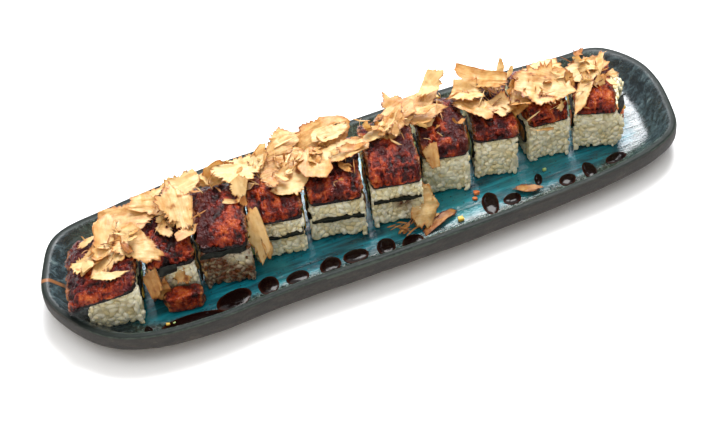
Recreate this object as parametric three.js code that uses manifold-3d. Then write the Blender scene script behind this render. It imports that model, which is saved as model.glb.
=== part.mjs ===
// Ten slices of an inside-out sushi roll in a row on their long handmade ceramic plate.
// Each slice is a block of rice round a nori tube and its filling, with a slab of glazed
// eel on top and shaved bonito flakes over it. Dark sauce is dotted along the plate.
// Millimetres, +Z up. X runs along the plate, -Y is the side that faces the guest,
// and the origin is on the table under the middle of the plate.

import * as THREE from "three";
import { mergeVertices } from "three/addons/utils/BufferGeometryUtils.js";
import Module from "manifold-3d";

const wasm = await Module();
wasm.setup();

// Driving dimensions of the plate

const PLATE_LENGTH = 356;
const PLATE_WIDTH = 106;
const RIM_HEIGHT = 20;
const FLOOR_HEIGHT = 6.5;
const RIM_WAVE = 0.5;
const SPINE_REACH = 125;
const OUTLINE_POINTS = 50;

// Driving dimensions of the roll

const SEAT_GAP = 0.3;
const LAYER_GAP = 0.3;
const NORI_THICKNESS = 0.8;
const RICE_WALL = 7.2;
const GRAIN_BUMP = 0.95;
const RICE_STEPS = 4;
const RICE_SIDES = 20;
const CORE_SIDES = 12;
const EEL_CELLS_ACROSS = 6;
const EEL_CELLS_DEEP = 7;
const EEL_EDGE = 2.4;
const EEL_BACK = 0.8;
const EEL_DROOP = 0.75;
const FLAKE_THICKNESS = 0.7;
const FLAKE_CLEARANCE = 0.9;

// Finishes: colour and roughness

const FINISHES = {
  plate: [0x1f7688, 0.22],
  rice: [0xded9c2, 0.55],
  nori: [0x11140f, 0.6],
  filling: [0xc98a3c, 0.6],
  eel: [0x7c2c18, 0.35],
  flakes: [0xe9c993, 0.7],
};

// The slices from left to right. x and y are the middle of the lower front edge, turn is
// the angle about Z in degrees, width runs along the roll, depth across it. rice and eel
// are heights, lean and rise the slopes of the rice's top to the right and to the back,
// left and front how far the eel hangs over, seam is the height of the nori's tail on the
// front face where it shows, and ragged how far the end has crumbled out of the cut face.

const SLICES = [
  { x: -146, y: -25, turn: -13, width: 27, depth: 40, rice: 24, eel: 9, lean: 0.22, rise: 0, left: 9, front: 3 },
  { x: -114, y: -20, turn: -11, width: 24.5, depth: 34, rice: 25, eel: 8, lean: 0.02, rise: 0.06, left: 0, front: 1 },
  { x: -86, y: -23, turn: -12, width: 26, depth: 41, rice: 27, eel: 11, lean: 0, rise: 0, left: 0, front: 1 },
  { x: -56, y: -17, turn: -13, width: 27, depth: 41, rice: 26.5, eel: 10, lean: 0, rise: 0, left: 0, front: 1, seam: 16 },
  { x: -24, y: -18, turn: -14, width: 29, depth: 41, rice: 27, eel: 10.5, lean: 0.02, rise: 0, left: 0, front: 1, seam: 15.5 },
  { x: 8, y: -22, turn: -12.5, width: 27, depth: 41, rice: 30, eel: 11.5, lean: 0, rise: 0.06, left: 0, front: 1.2, seam: 18.5 },
  { x: 40, y: -13, turn: -13.5, width: 25, depth: 40, rice: 27, eel: 10.5, lean: 0, rise: 0.03, left: 0, front: 1 },
  { x: 69, y: -13.5, turn: -14, width: 23, depth: 40, rice: 27.5, eel: 9, lean: 0, rise: 0.03, left: 0, front: 0.8 },
  { x: 100.5, y: -14, turn: -6, width: 23, depth: 40, rice: 26.5, eel: 10.5, lean: 0, rise: 0, left: 0, front: 1 },
  { x: 125.5, y: -17.5, turn: -21, width: 22, depth: 36, rice: 26.5, eel: 9.5, lean: -0.02, rise: 0, left: 0, front: 2, ragged: 10 },
];

// The bonito flakes on each slice, placed from the middle of the eel's top: across and
// back along the plate's axes, lift above the eel, long and wide are the flake's size,
// turn its direction in degrees, pitch and bend how it rises and curls along its length,
// tip how it leans to its side.

const FLAKES = [
  [
    { across: 4, back: 3, lift: 1.6, long: 44, wide: 18, turn: 68, pitch: 6, bend: -24, tip: 4 },
    { across: 15, back: -4, lift: 2.2, long: 25, wide: 22, turn: -16, pitch: -6, bend: -44, tip: 8 },
    { across: -7, back: 1, lift: 2.4, long: 25, wide: 14, turn: 20, pitch: 8, bend: -14, tip: -6 },
    { across: 15, back: 13, lift: 4.6, long: 27, wide: 18, turn: -10, pitch: -6, bend: -24, tip: 14 },
  ],
  [
    { across: 2, back: 16, lift: 6, long: 27, wide: 18, turn: -8, pitch: -4, bend: -20, tip: 24 },
    { across: 14, back: 17, lift: 6, long: 28, wide: 15, turn: 2, pitch: 4, bend: -20, tip: 16 },
    { across: 10, back: 5, lift: 3.2, long: 29, wide: 17, turn: 84, pitch: 12, bend: -36, tip: -8 },
  ],
  [
    { across: 17, back: 16, lift: 5.4, long: 30, wide: 21, turn: -4, pitch: 0, bend: -26, tip: 20 },
    { across: 6, back: 18, lift: 5, long: 22, wide: 13, turn: 14, pitch: 6, bend: -20, tip: 24 },
  ],
  [
    { across: 8, back: 7, lift: 3, long: 28, wide: 19, turn: 6, pitch: 0, bend: -26, tip: 6 },
    { across: 8, back: -7, lift: 1.8, long: 24, wide: 22, turn: -12, pitch: -2, bend: -20, tip: 8 },
    { across: 12, back: 17, lift: 7.6, long: 28, wide: 18, turn: 6, pitch: 4, bend: -36, tip: 28 },
  ],
  [
    { across: -8, back: -2, lift: 4, long: 21, wide: 19, turn: 66, pitch: 6, bend: -34, tip: 6 },
    { across: 9, back: -2, lift: 3, long: 31, wide: 13, turn: -12, pitch: 2, bend: -24, tip: 10 },
    { across: 1, back: 11, lift: 7.4, long: 33, wide: 24, turn: 0, pitch: 4, bend: -30, tip: 26 },
  ],
  [
    { across: -4, back: 6, lift: 2.4, long: 23, wide: 13, turn: -20, pitch: 2, bend: -20, tip: 6 },
    { across: 6, back: 7, lift: 4, long: 22, wide: 12, turn: 40, pitch: 6, bend: -24, tip: 10 },
    { across: 12, back: 17, lift: 8.2, long: 28, wide: 22, turn: 10, pitch: 10, bend: -30, tip: 12 },
  ],
  [
    { across: -8, back: 2, lift: 3, long: 27, wide: 15, turn: -4, pitch: 0, bend: -24, tip: 6 },
    { across: -6, back: 9, lift: 6.6, long: 30, wide: 18, turn: 34, pitch: 20, bend: -30, tip: 12 },
  ],
  [
    { across: -9, back: -3, lift: 3.6, long: 30, wide: 19, turn: -50, pitch: 2, bend: -34, tip: -6 },
    { across: 0, back: 10, lift: 7.4, long: 29, wide: 12, turn: -42, pitch: -4, bend: -12, tip: 24 },
    { across: -9, back: 7, lift: 5, long: 23, wide: 16, turn: -30, pitch: -6, bend: -26, tip: 14 },
    { across: 8, back: 5, lift: 11, long: 19, wide: 4.5, turn: 40, pitch: 52, bend: -14, tip: 0 },
  ],
  [
    { across: 2, back: -7, lift: 3.4, long: 31, wide: 25, turn: -32, pitch: -2, bend: -26, tip: 8 },
    { across: 5, back: 4, lift: 5.4, long: 26, wide: 17, turn: -10, pitch: 2, bend: -26, tip: 16 },
    { across: -12, back: -6, lift: 2.2, long: 24, wide: 14, turn: 34, pitch: 8, bend: -28, tip: -8 },
  ],
  [
    { across: -10, back: -9, lift: 2, long: 25, wide: 8.5, turn: 52, pitch: 10, bend: -20, tip: 8 },
    { across: -3, back: 3, lift: 3.4, long: 27, wide: 13, turn: -8, pitch: 2, bend: -26, tip: 10 },
    { across: 4, back: 2, lift: 5, long: 23, wide: 7, turn: 48, pitch: 16, bend: -20, tip: -12 },
  ],
];

// Sauce on the plate: middle, length, width and direction of each drop or pool

const SAUCE_HEIGHT = 1;
const SAUCE_SIDES = 8;
const SAUCE = [
  { x: -134, y: -34.5, long: 9, wide: 4.4, turn: 82 },
  { x: -111, y: -37.5, long: 34, wide: 10, turn: -4 },
  { x: -88, y: -33, long: 20, wide: 12, turn: 14 },
  { x: -69, y: -31.5, long: 12, wide: 10.5, turn: 40 },
  { x: -54, y: -33, long: 12.5, wide: 9, turn: 0 },
  { x: -36, y: -33, long: 12, wide: 10, turn: 20 },
  { x: -21, y: -32.5, long: 13.5, wide: 9, turn: -10 },
  { x: -5, y: -33.5, long: 12, wide: 9.6, turn: 60 },
  { x: 9, y: -36, long: 12, wide: 9.4, turn: 10 },
  { x: 57, y: -30, long: 16, wide: 9, turn: 70 },
  { x: 69, y: -32, long: 10, wide: 8, turn: 10 },
  { x: 88, y: -25, long: 8.5, wide: 4.4, turn: 66 },
  { x: 102, y: -32, long: 10.5, wide: 8.2, turn: 20 },
  { x: 116, y: -31, long: 13, wide: 7.6, turn: 80 },
  { x: 133, y: -29, long: 12, wide: 7, turn: 4 },
];

// Flakes that lie on the plate: a loose heap by the sixth slice and two strips

const PLATE_FLAKES = [
  { name: "shreds_on_plate", x: 9, y: -27.5, long: 19, wide: 5.5, turn: -8, lift: 2.8 },
  { name: "flake_strip_left", x: 29, y: -31, long: 24, wide: 7, turn: 16, lift: 1.8 },
  { name: "flake_strip_right", x: 79, y: -30.5, long: 15, wide: 7, turn: -24, lift: 1.6 },
];

// The piece of eel that has slipped to the foot of the second slice

const SLIPPED_EEL = { across: 3.4, length: 19, depth: 8.5, height: 12 };

const rad = THREE.MathUtils.degToRad;
const lerp = THREE.MathUtils.lerp;
const UP = new THREE.Vector3(0, 0, 1);

function seededRandom(seed) {
  let state = seed >>> 0;
  return () => {
    state = (state + 0x6d2b79f5) >>> 0;
    let value = Math.imul(state ^ (state >>> 15), state | 1);
    value ^= value + Math.imul(value ^ (value >>> 7), value | 61);
    return ((value ^ (value >>> 14)) >>> 0) / 4294967296;
  };
}

function spread(random, amount) {
  return (random() * 2 - 1) * amount;
}

// A closed geometry from points and triangles, turned so that its faces point out

function closedGeometry(points, triangles) {
  const positions = new Float32Array(points.flatMap((point) => [point.x, point.y, point.z]));
  let volume = 0;
  for (const [a, b, c] of triangles) {
    volume += points[a].dot(new THREE.Vector3().crossVectors(points[b], points[c]));
  }
  const outward = volume >= 0 ? triangles : triangles.map(([a, b, c]) => [a, c, b]);
  const geometry = new THREE.BufferGeometry();
  geometry.setAttribute("position", new THREE.BufferAttribute(positions, 3));
  geometry.setIndex(outward.flat());
  return geometry;
}

// Joins rings of equal length one after another, with a fan over each open end, or with
// the last ring joined to the first where the solid goes round a hole

function loft(rings, round = false) {
  const count = rings[0].length;
  const points = rings.flat();
  const triangles = [];
  const bands = round ? rings.length : rings.length - 1;
  for (let band = 0; band < bands; band += 1) {
    const here = band * count;
    const there = ((band + 1) % rings.length) * count;
    for (let side = 0; side < count; side += 1) {
      const next = (side + 1) % count;
      triangles.push([here + side, here + next, there + next]);
      triangles.push([here + side, there + next, there + side]);
    }
  }
  if (!round) {
    for (const [ring, flip] of [[0, true], [rings.length - 1, false]]) {
      const middle = new THREE.Vector3();
      rings[ring].forEach((point) => middle.addScaledVector(point, 1 / count));
      const apex = points.push(middle) - 1;
      for (let side = 0; side < count; side += 1) {
        const here = ring * count + side;
        const next = ring * count + ((side + 1) % count);
        triangles.push(flip ? [apex, next, here] : [apex, here, next]);
      }
    }
  }
  return closedGeometry(points, triangles);
}

// A sheet of cells between an upper and a lower surface, both split alike

function sheet(cellsU, cellsV, upper, lower) {
  const points = [];
  const triangles = [];
  const columns = cellsU + 1;
  const layer = columns * (cellsV + 1);
  const index = (u, v, side) => side * layer + v * columns + u;
  for (const surface of [upper, lower]) {
    for (let v = 0; v <= cellsV; v += 1) {
      for (let u = 0; u <= cellsU; u += 1) {
        points.push(surface(u / cellsU, v / cellsV));
      }
    }
  }
  for (let v = 0; v < cellsV; v += 1) {
    for (let u = 0; u < cellsU; u += 1) {
      const corners = [[u, v], [u + 1, v], [u + 1, v + 1], [u, v + 1]];
      const [a, b, c, d] = corners.map(([i, j]) => index(i, j, 0));
      const [e, f, g, h] = corners.map(([i, j]) => index(i, j, 1));
      triangles.push([a, b, c], [a, c, d], [e, g, f], [e, h, g]);
    }
  }
  const edge = [];
  for (let u = 0; u < cellsU; u += 1) edge.push([u, 0]);
  for (let v = 0; v < cellsV; v += 1) edge.push([cellsU, v]);
  for (let u = cellsU; u > 0; u -= 1) edge.push([u, cellsV]);
  for (let v = cellsV; v > 0; v -= 1) edge.push([0, v]);
  edge.forEach(([u, v], step) => {
    const [nextU, nextV] = edge[(step + 1) % edge.length];
    const a = index(u, v, 0);
    const b = index(nextU, nextV, 0);
    const c = index(nextU, nextV, 1);
    const d = index(u, v, 1);
    triangles.push([a, c, b], [a, d, c]);
  });
  return closedGeometry(points, triangles);
}

function toSolid(geometry) {
  const bare = geometry.clone();
  bare.deleteAttribute("normal");
  bare.deleteAttribute("uv");
  const merged = mergeVertices(bare, 1e-4);
  const vertProperties = new Float32Array(merged.attributes.position.array);
  const triVerts = new Uint32Array(merged.index.array);
  return new wasm.Manifold(new wasm.Mesh({ numProp: 3, vertProperties, triVerts }));
}

function fromSolid(solid) {
  const mesh = solid.getMesh();
  const geometry = new THREE.BufferGeometry();
  geometry.setAttribute("position", new THREE.BufferAttribute(new Float32Array(mesh.vertProperties), 3));
  geometry.setIndex(new THREE.BufferAttribute(new Uint32Array(mesh.triVerts), 1));
  return geometry;
}

function largestPiece(solid) {
  const pieces = solid.decompose();
  return pieces.reduce((best, piece) => (piece.volume() > best.volume() ? piece : best));
}

function makeMesh(name, geometry, finish) {
  const [color, roughness] = FINISHES[finish];
  const shaded = geometry.index ? geometry.toNonIndexed() : geometry;
  shaded.computeVertexNormals();
  const material = new THREE.MeshStandardMaterial({ color, roughness, metalness: 0 });
  const mesh = new THREE.Mesh(shaded, material);
  mesh.name = name;
  return mesh;
}

// The plate: an uneven eight-sided outline with a turned-up rim, lower inside at the
// middle and rising slowly towards both ends

function plateOutline() {
  const corners = [
    [179, 7], [176, -14], [168, -34], [149, -44], [120, -49], [60, -52], [0, -53], [-60, -51.5],
    [-105, -53], [-136, -49], [-153, -41], [-167, -25], [-178, 0], [-174, 20], [-163, 40], [-130, 47],
    [-80, 52], [0, 53], [80, 52], [135, 48], [162, 45], [176, 26],
  ];
  const curve = new THREE.CatmullRomCurve3(corners.map(([x, y]) => new THREE.Vector3(x, y, 0)), true);
  const points = curve.getSpacedPoints(OUTLINE_POINTS).slice(0, OUTLINE_POINTS);
  const box = new THREE.Box3().setFromPoints(points);
  const middle = box.getCenter(new THREE.Vector3());
  const size = box.getSize(new THREE.Vector3());
  return points.map((point) => new THREE.Vector3(
    (point.x - middle.x) * (PLATE_LENGTH / size.x),
    (point.y - middle.y) * (PLATE_WIDTH / size.y),
    0,
  ));
}

// A point of the outline moved in towards the plate's spine, further at the ends where
// endInset says so, and lifted to z with the rim's slight waves

function platePoint(point, { inset, endInset, z, wave }) {
  const spine = new THREE.Vector3(THREE.MathUtils.clamp(point.x, -SPINE_REACH, SPINE_REACH), 0, 0);
  const share = THREE.MathUtils.smoothstep(Math.abs(point.x), SPINE_REACH - 25, PLATE_LENGTH / 2);
  const inward = spine.sub(point).setLength(lerp(inset, endInset, share));
  const angle = Math.atan2(point.y * 3, point.x);
  const lift = wave * RIM_WAVE * (Math.sin(angle * 3 + 0.8) + 0.6 * Math.sin(angle * 7));
  return point.clone().add(inward).setZ(z + lift);
}

function sauceDrop(drop, height) {
  const random = seededRandom(Math.round(drop.x * 7 + 9000));
  const wobble = Array.from({ length: SAUCE_SIDES }, () => 1 + spread(random, 0.12));
  const ring = (scale, z) => wobble.map((grow, side) => {
    const angle = (side / SAUCE_SIDES) * Math.PI * 2;
    const x = (Math.cos(angle) * drop.long * scale * grow) / 2;
    const y = (Math.sin(angle) * drop.wide * scale * grow) / 2;
    return new THREE.Vector3(x, y, z);
  });
  const geometry = loft([ring(0.96, -1.2), ring(1, 0), ring(0.72, height)]);
  geometry.rotateZ(rad(drop.turn));
  geometry.translate(drop.x, drop.y, FLOOR_HEIGHT + 0.15);
  return toSolid(geometry);
}

function plateSolid() {
  const levels = [
    { inset: 18, endInset: 34, z: 0, wave: 0 },
    { inset: 8, endInset: 14, z: 2.6, wave: 0 },
    { inset: 1.6, endInset: 2.4, z: 8.8, wave: 0.6 },
    { inset: 0, endInset: 0, z: 11, wave: 1 },
    { inset: 0.3, endInset: 0.3, z: 19.3, wave: 1 },
    { inset: 1.7, endInset: 1.7, z: RIM_HEIGHT, wave: 1 },
    { inset: 4.6, endInset: 4.8, z: RIM_HEIGHT - 0.4, wave: 1 },
    { inset: 6.4, endInset: 7.2, z: 17, wave: 0.8 },
    { inset: 8.6, endInset: 10.5, z: 12.2, wave: 0.4 },
    { inset: 10.8, endInset: 13.5, z: 8.6, wave: 0.1 },
    { inset: 14, endInset: 18.5, z: FLOOR_HEIGHT, wave: 0 },
  ];
  const outline = plateOutline();
  return loft(levels.map((level) => outline.map((point) => platePoint(point, level))));
}

function makePlate() {
  let solid = toSolid(plateSolid());
  for (const drop of SAUCE) solid = solid.add(sauceDrop(drop, SAUCE_HEIGHT));
  return makeMesh("plate", fromSolid(solid), "plate");
}

// A rounded rectangle in the roll's cross-section, seen from its middle: the directions
// are those of evenly spaced points on the rice's own outline

function sectionDirections(depth, height, count) {
  const perimeter = 2 * (depth + height);
  return Array.from({ length: count }, (_, side) => {
    let run = (side / count) * perimeter;
    if (run < depth) return Math.atan2(-height / 2, run - depth / 2);
    run -= depth;
    if (run < height) return Math.atan2(run - height / 2, depth / 2);
    run -= height;
    if (run < depth) return Math.atan2(height / 2, depth / 2 - run);
    run -= depth;
    return Math.atan2(height / 2 - run, -depth / 2);
  });
}

function roundedReach(direction, halfDepth, halfHeight, squareness) {
  const across = Math.abs(Math.cos(direction)) / halfDepth;
  const up = Math.abs(Math.sin(direction)) / halfHeight;
  return (across ** squareness + up ** squareness) ** (-1 / squareness);
}

function sectionRing(x, directions, halfDepth, halfHeight, middleZ, squareness) {
  return directions.map((direction) => {
    const reach = roundedReach(direction, halfDepth, halfHeight, squareness);
    return new THREE.Vector3(x, Math.cos(direction) * reach, middleZ + Math.sin(direction) * reach);
  });
}

function riceTop(slice, x, y) {
  return slice.rice + slice.lean * x + slice.rise * y;
}

function coreSize(slice) {
  const lowest = slice.rice - Math.abs(slice.lean) * (slice.width / 2) - slice.rise * (slice.depth / 2);
  return { halfDepth: slice.depth / 2 - RICE_WALL, halfHeight: lowest / 2 - RICE_WALL, middleZ: lowest / 2 };
}

function coreRing(slice, x, inset) {
  const { halfDepth, halfHeight, middleZ } = coreSize(slice);
  const directions = sectionDirections(2 * halfDepth, 2 * halfHeight, CORE_SIDES);
  return sectionRing(x, directions, halfDepth - inset, halfHeight - inset, middleZ, 7);
}

// Rice: a block round the core, lumpy by the size of a grain where it shows, flat below
// where it stands on the plate and flat above where the eel lies on it

function makeRice(slice, number) {
  const random = seededRandom(100 + number);
  const directions = sectionDirections(slice.depth, slice.rice, RICE_SIDES);
  const half = slice.width / 2;
  const ragged = slice.ragged ?? 0;
  const ring = (x, shrink, bulge) => directions.map((direction) => {
    const halfDepth = slice.depth / 2 - shrink;
    const halfHeight = slice.rice / 2 - shrink;
    const reach = roundedReach(direction, halfDepth, halfHeight, shrink ? 6 : 9);
    const y = Math.cos(direction) * reach;
    const share = (slice.rice / 2 + Math.sin(direction) * reach) / slice.rice;
    const shows = share > 0.06 && share < 0.94;
    const bump = shows && !shrink ? spread(random, GRAIN_BUMP) / reach : 0;
    const side = shows ? spread(random, GRAIN_BUMP * (shrink ? 0.6 : 0.4)) : 0;
    const foot = 1 + 0.035 * (1 - share) ** 2;
    const slump = Math.sin(Math.PI * Math.min(1, share)) * (0.75 + (0.5 * y) / slice.depth);
    const fallen = ragged * Math.max(0, (2 * x) / slice.width) * slump;
    const z = Math.max(0, share * riceTop(slice, x, y));
    return new THREE.Vector3(x * foot + side + fallen + Math.sign(x) * bulge, y * foot * (1 + bump), z);
  });
  const stations = Array.from({ length: RICE_STEPS + 1 }, (_, step) => lerp(-half, half, step / RICE_STEPS));
  const sides = stations.map((x) => ring(x, 0, 0));
  const block = toSolid(loft([ring(-half, RICE_WALL / 2, 0.35), ...sides, ring(half, RICE_WALL / 2, 0.35)]));
  const reach = half + ragged + 6;
  let solid = block.subtract(toSolid(loft([coreRing(slice, -reach, 0), coreRing(slice, reach, 0)])));
  if (slice.seam) solid = solid.subtract(seamSlab(slice, 2 * reach, LAYER_GAP));
  const footing = plateSolid().translate(0, 0, SEAT_GAP * 1.2).applyMatrix4(slicePlace(slice).invert());
  return fromSolid(largestPiece(solid.subtract(toSolid(footing))));
}

// The slot in the rice, or with no room round it the nori's tail, that runs from the
// nori tube up to the seam on the front face

function seamSlab(slice, width, room) {
  const { halfDepth, middleZ } = coreSize(slice);
  const front = -slice.depth / 2 - (room ? 4 : 0.4);
  const back = -halfDepth + LAYER_GAP + NORI_THICKNESS * 0.75;
  const slope = (middleZ + 1 - slice.seam) / (back + slice.depth / 2);
  const edge = (u, v, side) => {
    const y = lerp(front, back, v);
    const seat = slice.seam + slope * (y + slice.depth / 2);
    return new THREE.Vector3(lerp(-width / 2, width / 2, u), y, seat + side * (NORI_THICKNESS / 2 + room));
  };
  return toSolid(sheet(2, 3, (u, v) => edge(u, v, 1), (u, v) => edge(u, v, -1)));
}

function makeNori(slice) {
  const half = slice.width / 2;
  const wall = LAYER_GAP + NORI_THICKNESS;
  const rings = [
    coreRing(slice, -half, LAYER_GAP), coreRing(slice, half, LAYER_GAP),
    coreRing(slice, half, wall), coreRing(slice, -half, wall),
  ];
  let solid = toSolid(loft(rings, true));
  if (slice.seam) solid = solid.add(seamSlab(slice, slice.width, 0));
  return fromSolid(solid);
}

// Filling: the core that shows at both cut faces, proud and uneven there

function makeFilling(slice, number) {
  const random = seededRandom(300 + number);
  const inset = 2 * LAYER_GAP + NORI_THICKNESS;
  const half = slice.width / 2;
  const crumbled = 0.6 * (slice.ragged ?? 0);
  const proud = (side) => coreRing(slice, side * half, inset + 1.4).map((point) => {
    point.x += side * (0.6 + spread(random, 0.6)) + Math.max(0, side) * crumbled;
    return point;
  });
  return loft([proud(-1), coreRing(slice, -half, inset), coreRing(slice, half, inset), proud(1)]);
}

// Eel: a slab cut with the roll, so upright at both cut faces, rounded at front and back,
// with a craggy grilled top

function eelThickness(slice, across, deep) {
  const t = Math.abs(deep * 2 - 1);
  const crown = Math.max(0, 1 - t ** 3) ** 0.55;
  const side = 1 - 0.16 * Math.abs(across * 2 - 1) ** 3;
  return EEL_EDGE + (slice.eel - EEL_EDGE) * crown * side;
}

// The eel's width across the slice. An end slice has a third of its cells past the rice,
// where the eel hangs down

function eelSpan(slice) {
  const right = slice.width / 2 + 0.5;
  const hangs = slice.left > 0;
  return { right, knee: hangs ? 1 / 3 : 0, kneeX: hangs ? -right - 1.2 : -right, left: -right - slice.left };
}

function eelPlace(slice, across, deep) {
  const { left, knee, kneeX, right } = eelSpan(slice);
  const hanging = across < knee;
  const x = hanging ? lerp(left, kneeX, across / knee) : lerp(kneeX, right, (across - knee) / (1 - knee));
  const y = lerp(-slice.depth / 2 - slice.front, slice.depth / 2 + EEL_BACK, deep);
  const seat = riceTop(slice, Math.max(x, kneeX), y) + SEAT_GAP;
  return new THREE.Vector3(x, y, seat - EEL_DROOP * Math.max(0, kneeX - x));
}

function eelShares(slice, x, y) {
  const { left, knee, kneeX, right } = eelSpan(slice);
  const hanging = x < kneeX && knee > 0;
  const across = hanging ? (knee * (x - left)) / (kneeX - left) : knee + ((1 - knee) * (x - kneeX)) / (right - kneeX);
  const deep = (y + slice.depth / 2 + slice.front) / (slice.depth + slice.front + EEL_BACK);
  return { across, deep };
}

function makeEel(slice, number) {
  const random = seededRandom(500 + number);
  const crags = new Map();
  const upper = (u, v) => {
    const point = eelPlace(slice, u, v);
    const edge = u === 0 || u === 1 || v === 0 || v === 1;
    const key = `${u},${v}`;
    if (!crags.has(key)) crags.set(key, edge ? 0 : spread(random, 0.5));
    point.z += eelThickness(slice, u, v) + crags.get(key);
    return point;
  };
  const lower = (u, v) => eelPlace(slice, u, v);
  return sheet(EEL_CELLS_ACROSS, EEL_CELLS_DEEP, upper, lower);
}

// Where a slice stands: its middle on the plate's floor

function slicePlace(slice) {
  const turn = rad(slice.turn);
  const middle = new THREE.Vector3(0, slice.depth / 2, 0).applyAxisAngle(UP, turn);
  middle.add(new THREE.Vector3(slice.x, slice.y, FLOOR_HEIGHT + SEAT_GAP));
  return new THREE.Matrix4().makeRotationZ(turn).setPosition(middle);
}

// The highest thing under a point of the plate: the eel of whichever slice is there

function topUnder(x, y) {
  let top = 0;
  for (const slice of SLICES) {
    const local = new THREE.Vector3(x, y, 0).applyMatrix4(slicePlace(slice).invert());
    const { across, deep } = eelShares(slice, local.x, local.y);
    const margin = 0.06;
    if (across < -margin || across > 1 + margin || deep < -margin || deep > 1 + margin) continue;
    const u = THREE.MathUtils.clamp(across, 0, 1);
    const v = THREE.MathUtils.clamp(deep, 0, 1);
    const seat = FLOOR_HEIGHT + SEAT_GAP;
    top = Math.max(top, seat + eelPlace(slice, u, v).z + eelThickness(slice, u, v));
  }
  return top;
}

// A flake: a thin wavy oval sheet that follows an arc along its length. grow thickens
// it on every side, for the room that the next slice's flakes keep from it

function makeFlake(flake, slice, seed, grow) {
  const random = seededRandom(seed);
  const middle = new THREE.Vector3().setFromMatrixPosition(slicePlace(slice));
  const centreX = middle.x + flake.across;
  const centreY = middle.y + flake.back;
  const base = topUnder(centreX, centreY) + flake.lift;
  const cells = flake.wide > flake.long * 0.65 ? [3, 3] : [3, 2];
  const waves = new Map();
  const surface = (u, v, side) => {
    const key = `${u},${v}`;
    if (!waves.has(key)) waves.set(key, { lift: spread(random, 0.8), rag: 1 + spread(random, 0.1) });
    const { lift, rag } = waves.get(key);
    const a = u * 2 - 1;
    const b = v * 2 - 1;
    const along = a * Math.sqrt(1 - (b * b) / 2.6) * rag * (flake.long / 2 + grow);
    const sideways = b * Math.sqrt(1 - (a * a) / 2.6) * rag * (flake.wide / 2 + grow);
    const share = along / flake.long;
    const angle = rad(flake.pitch + (flake.bend * share) / 2);
    const x = along * Math.cos(angle);
    const rise = along * Math.sin(angle) + sideways * Math.sin(rad(flake.tip)) + lift;
    const y = sideways * Math.cos(rad(flake.tip));
    const turn = rad(flake.turn);
    const worldX = centreX + x * Math.cos(turn) - y * Math.sin(turn);
    const worldY = centreY + x * Math.sin(turn) + y * Math.cos(turn);
    const lowest = Math.max(base + rise, topUnder(worldX, worldY) + FLAKE_CLEARANCE);
    const thickness = side ? FLAKE_THICKNESS + grow : -grow;
    return new THREE.Vector3(worldX, worldY, lowest + thickness);
  };
  return toSolid(sheet(cells[0], cells[1], (u, v) => surface(u, v, 1), (u, v) => surface(u, v, 0)));
}

function flakeHeap(flakes, slice, number, grow) {
  const solids = flakes.map((flake, index) => makeFlake(flake, slice, number * 40 + index, grow));
  return solids.reduce((heap, solid) => heap.add(solid));
}

// The room that flakes keep from the eel under them and beside it

function eelRoom(number) {
  const slice = SLICES[number - 1];
  const geometry = makeEel(slice, number);
  geometry.scale(1.025, 1.015, 1).translate(0, 0, LAYER_GAP + 0.05).applyMatrix4(slicePlace(slice));
  return toSolid(geometry);
}

function makePlateFlake(strip) {
  const random = seededRandom(Math.round(strip.x * 13 + 500));
  const waves = new Map();
  const surface = (u, v, thickness) => {
    const key = `${u},${v}`;
    if (!waves.has(key)) waves.set(key, spread(random, 0.35));
    const a = u * 2 - 1;
    const b = v * 2 - 1;
    const x = (a * strip.long) / 2;
    const y = b * (strip.wide / 2) * Math.sqrt(1 - (a * a) / 1.6);
    const arch = strip.lift * (1 - a * a * 0.6 - b * b * 0.3) + waves.get(key);
    return new THREE.Vector3(x, y, SAUCE_HEIGHT + 0.6 + arch + thickness);
  };
  const geometry = sheet(4, 2, (u, v) => surface(u, v, 0.9), (u, v) => surface(u, v, 0));
  geometry.rotateZ(rad(strip.turn));
  geometry.translate(strip.x, strip.y, FLOOR_HEIGHT);
  return geometry;
}

function makeSlippedEel() {
  const { length, depth, height } = SLIPPED_EEL;
  const random = seededRandom(77);
  const bumps = new Map();
  const surface = (u, v, top) => {
    const key = `${u},${v}`;
    if (!bumps.has(key)) bumps.set(key, spread(random, 0.5));
    const x = lerp(-length / 2, length / 2, u);
    const y = lerp(-depth / 2, depth / 2, v);
    const crown = 1 - 0.35 * Math.abs(u * 2 - 1) ** 3 - 0.2 * (1 - v) ** 2;
    return new THREE.Vector3(x, y, top ? height * crown + bumps.get(key) : 0);
  };
  return sheet(5, 3, (u, v) => surface(u, v, true), (u, v) => surface(u, v, false));
}

function twoDigits(number) {
  return String(number).padStart(2, "0");
}

// One slice: its layers share a group that stands on the plate, turned as it was served

function makeSlice(slice, number) {
  const label = twoDigits(number);
  const group = new THREE.Group();
  group.position.setFromMatrixPosition(slicePlace(slice));
  group.rotation.z = rad(slice.turn);
  group.add(makeMesh(`rice_${label}`, makeRice(slice, number), "rice"));
  group.add(makeMesh(`nori_${label}`, makeNori(slice), "nori"));
  group.add(makeMesh(`filling_${label}`, makeFilling(slice, number), "filling"));
  group.add(makeMesh(`eel_${label}`, makeEel(slice, number), "eel"));
  return group;
}

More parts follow.
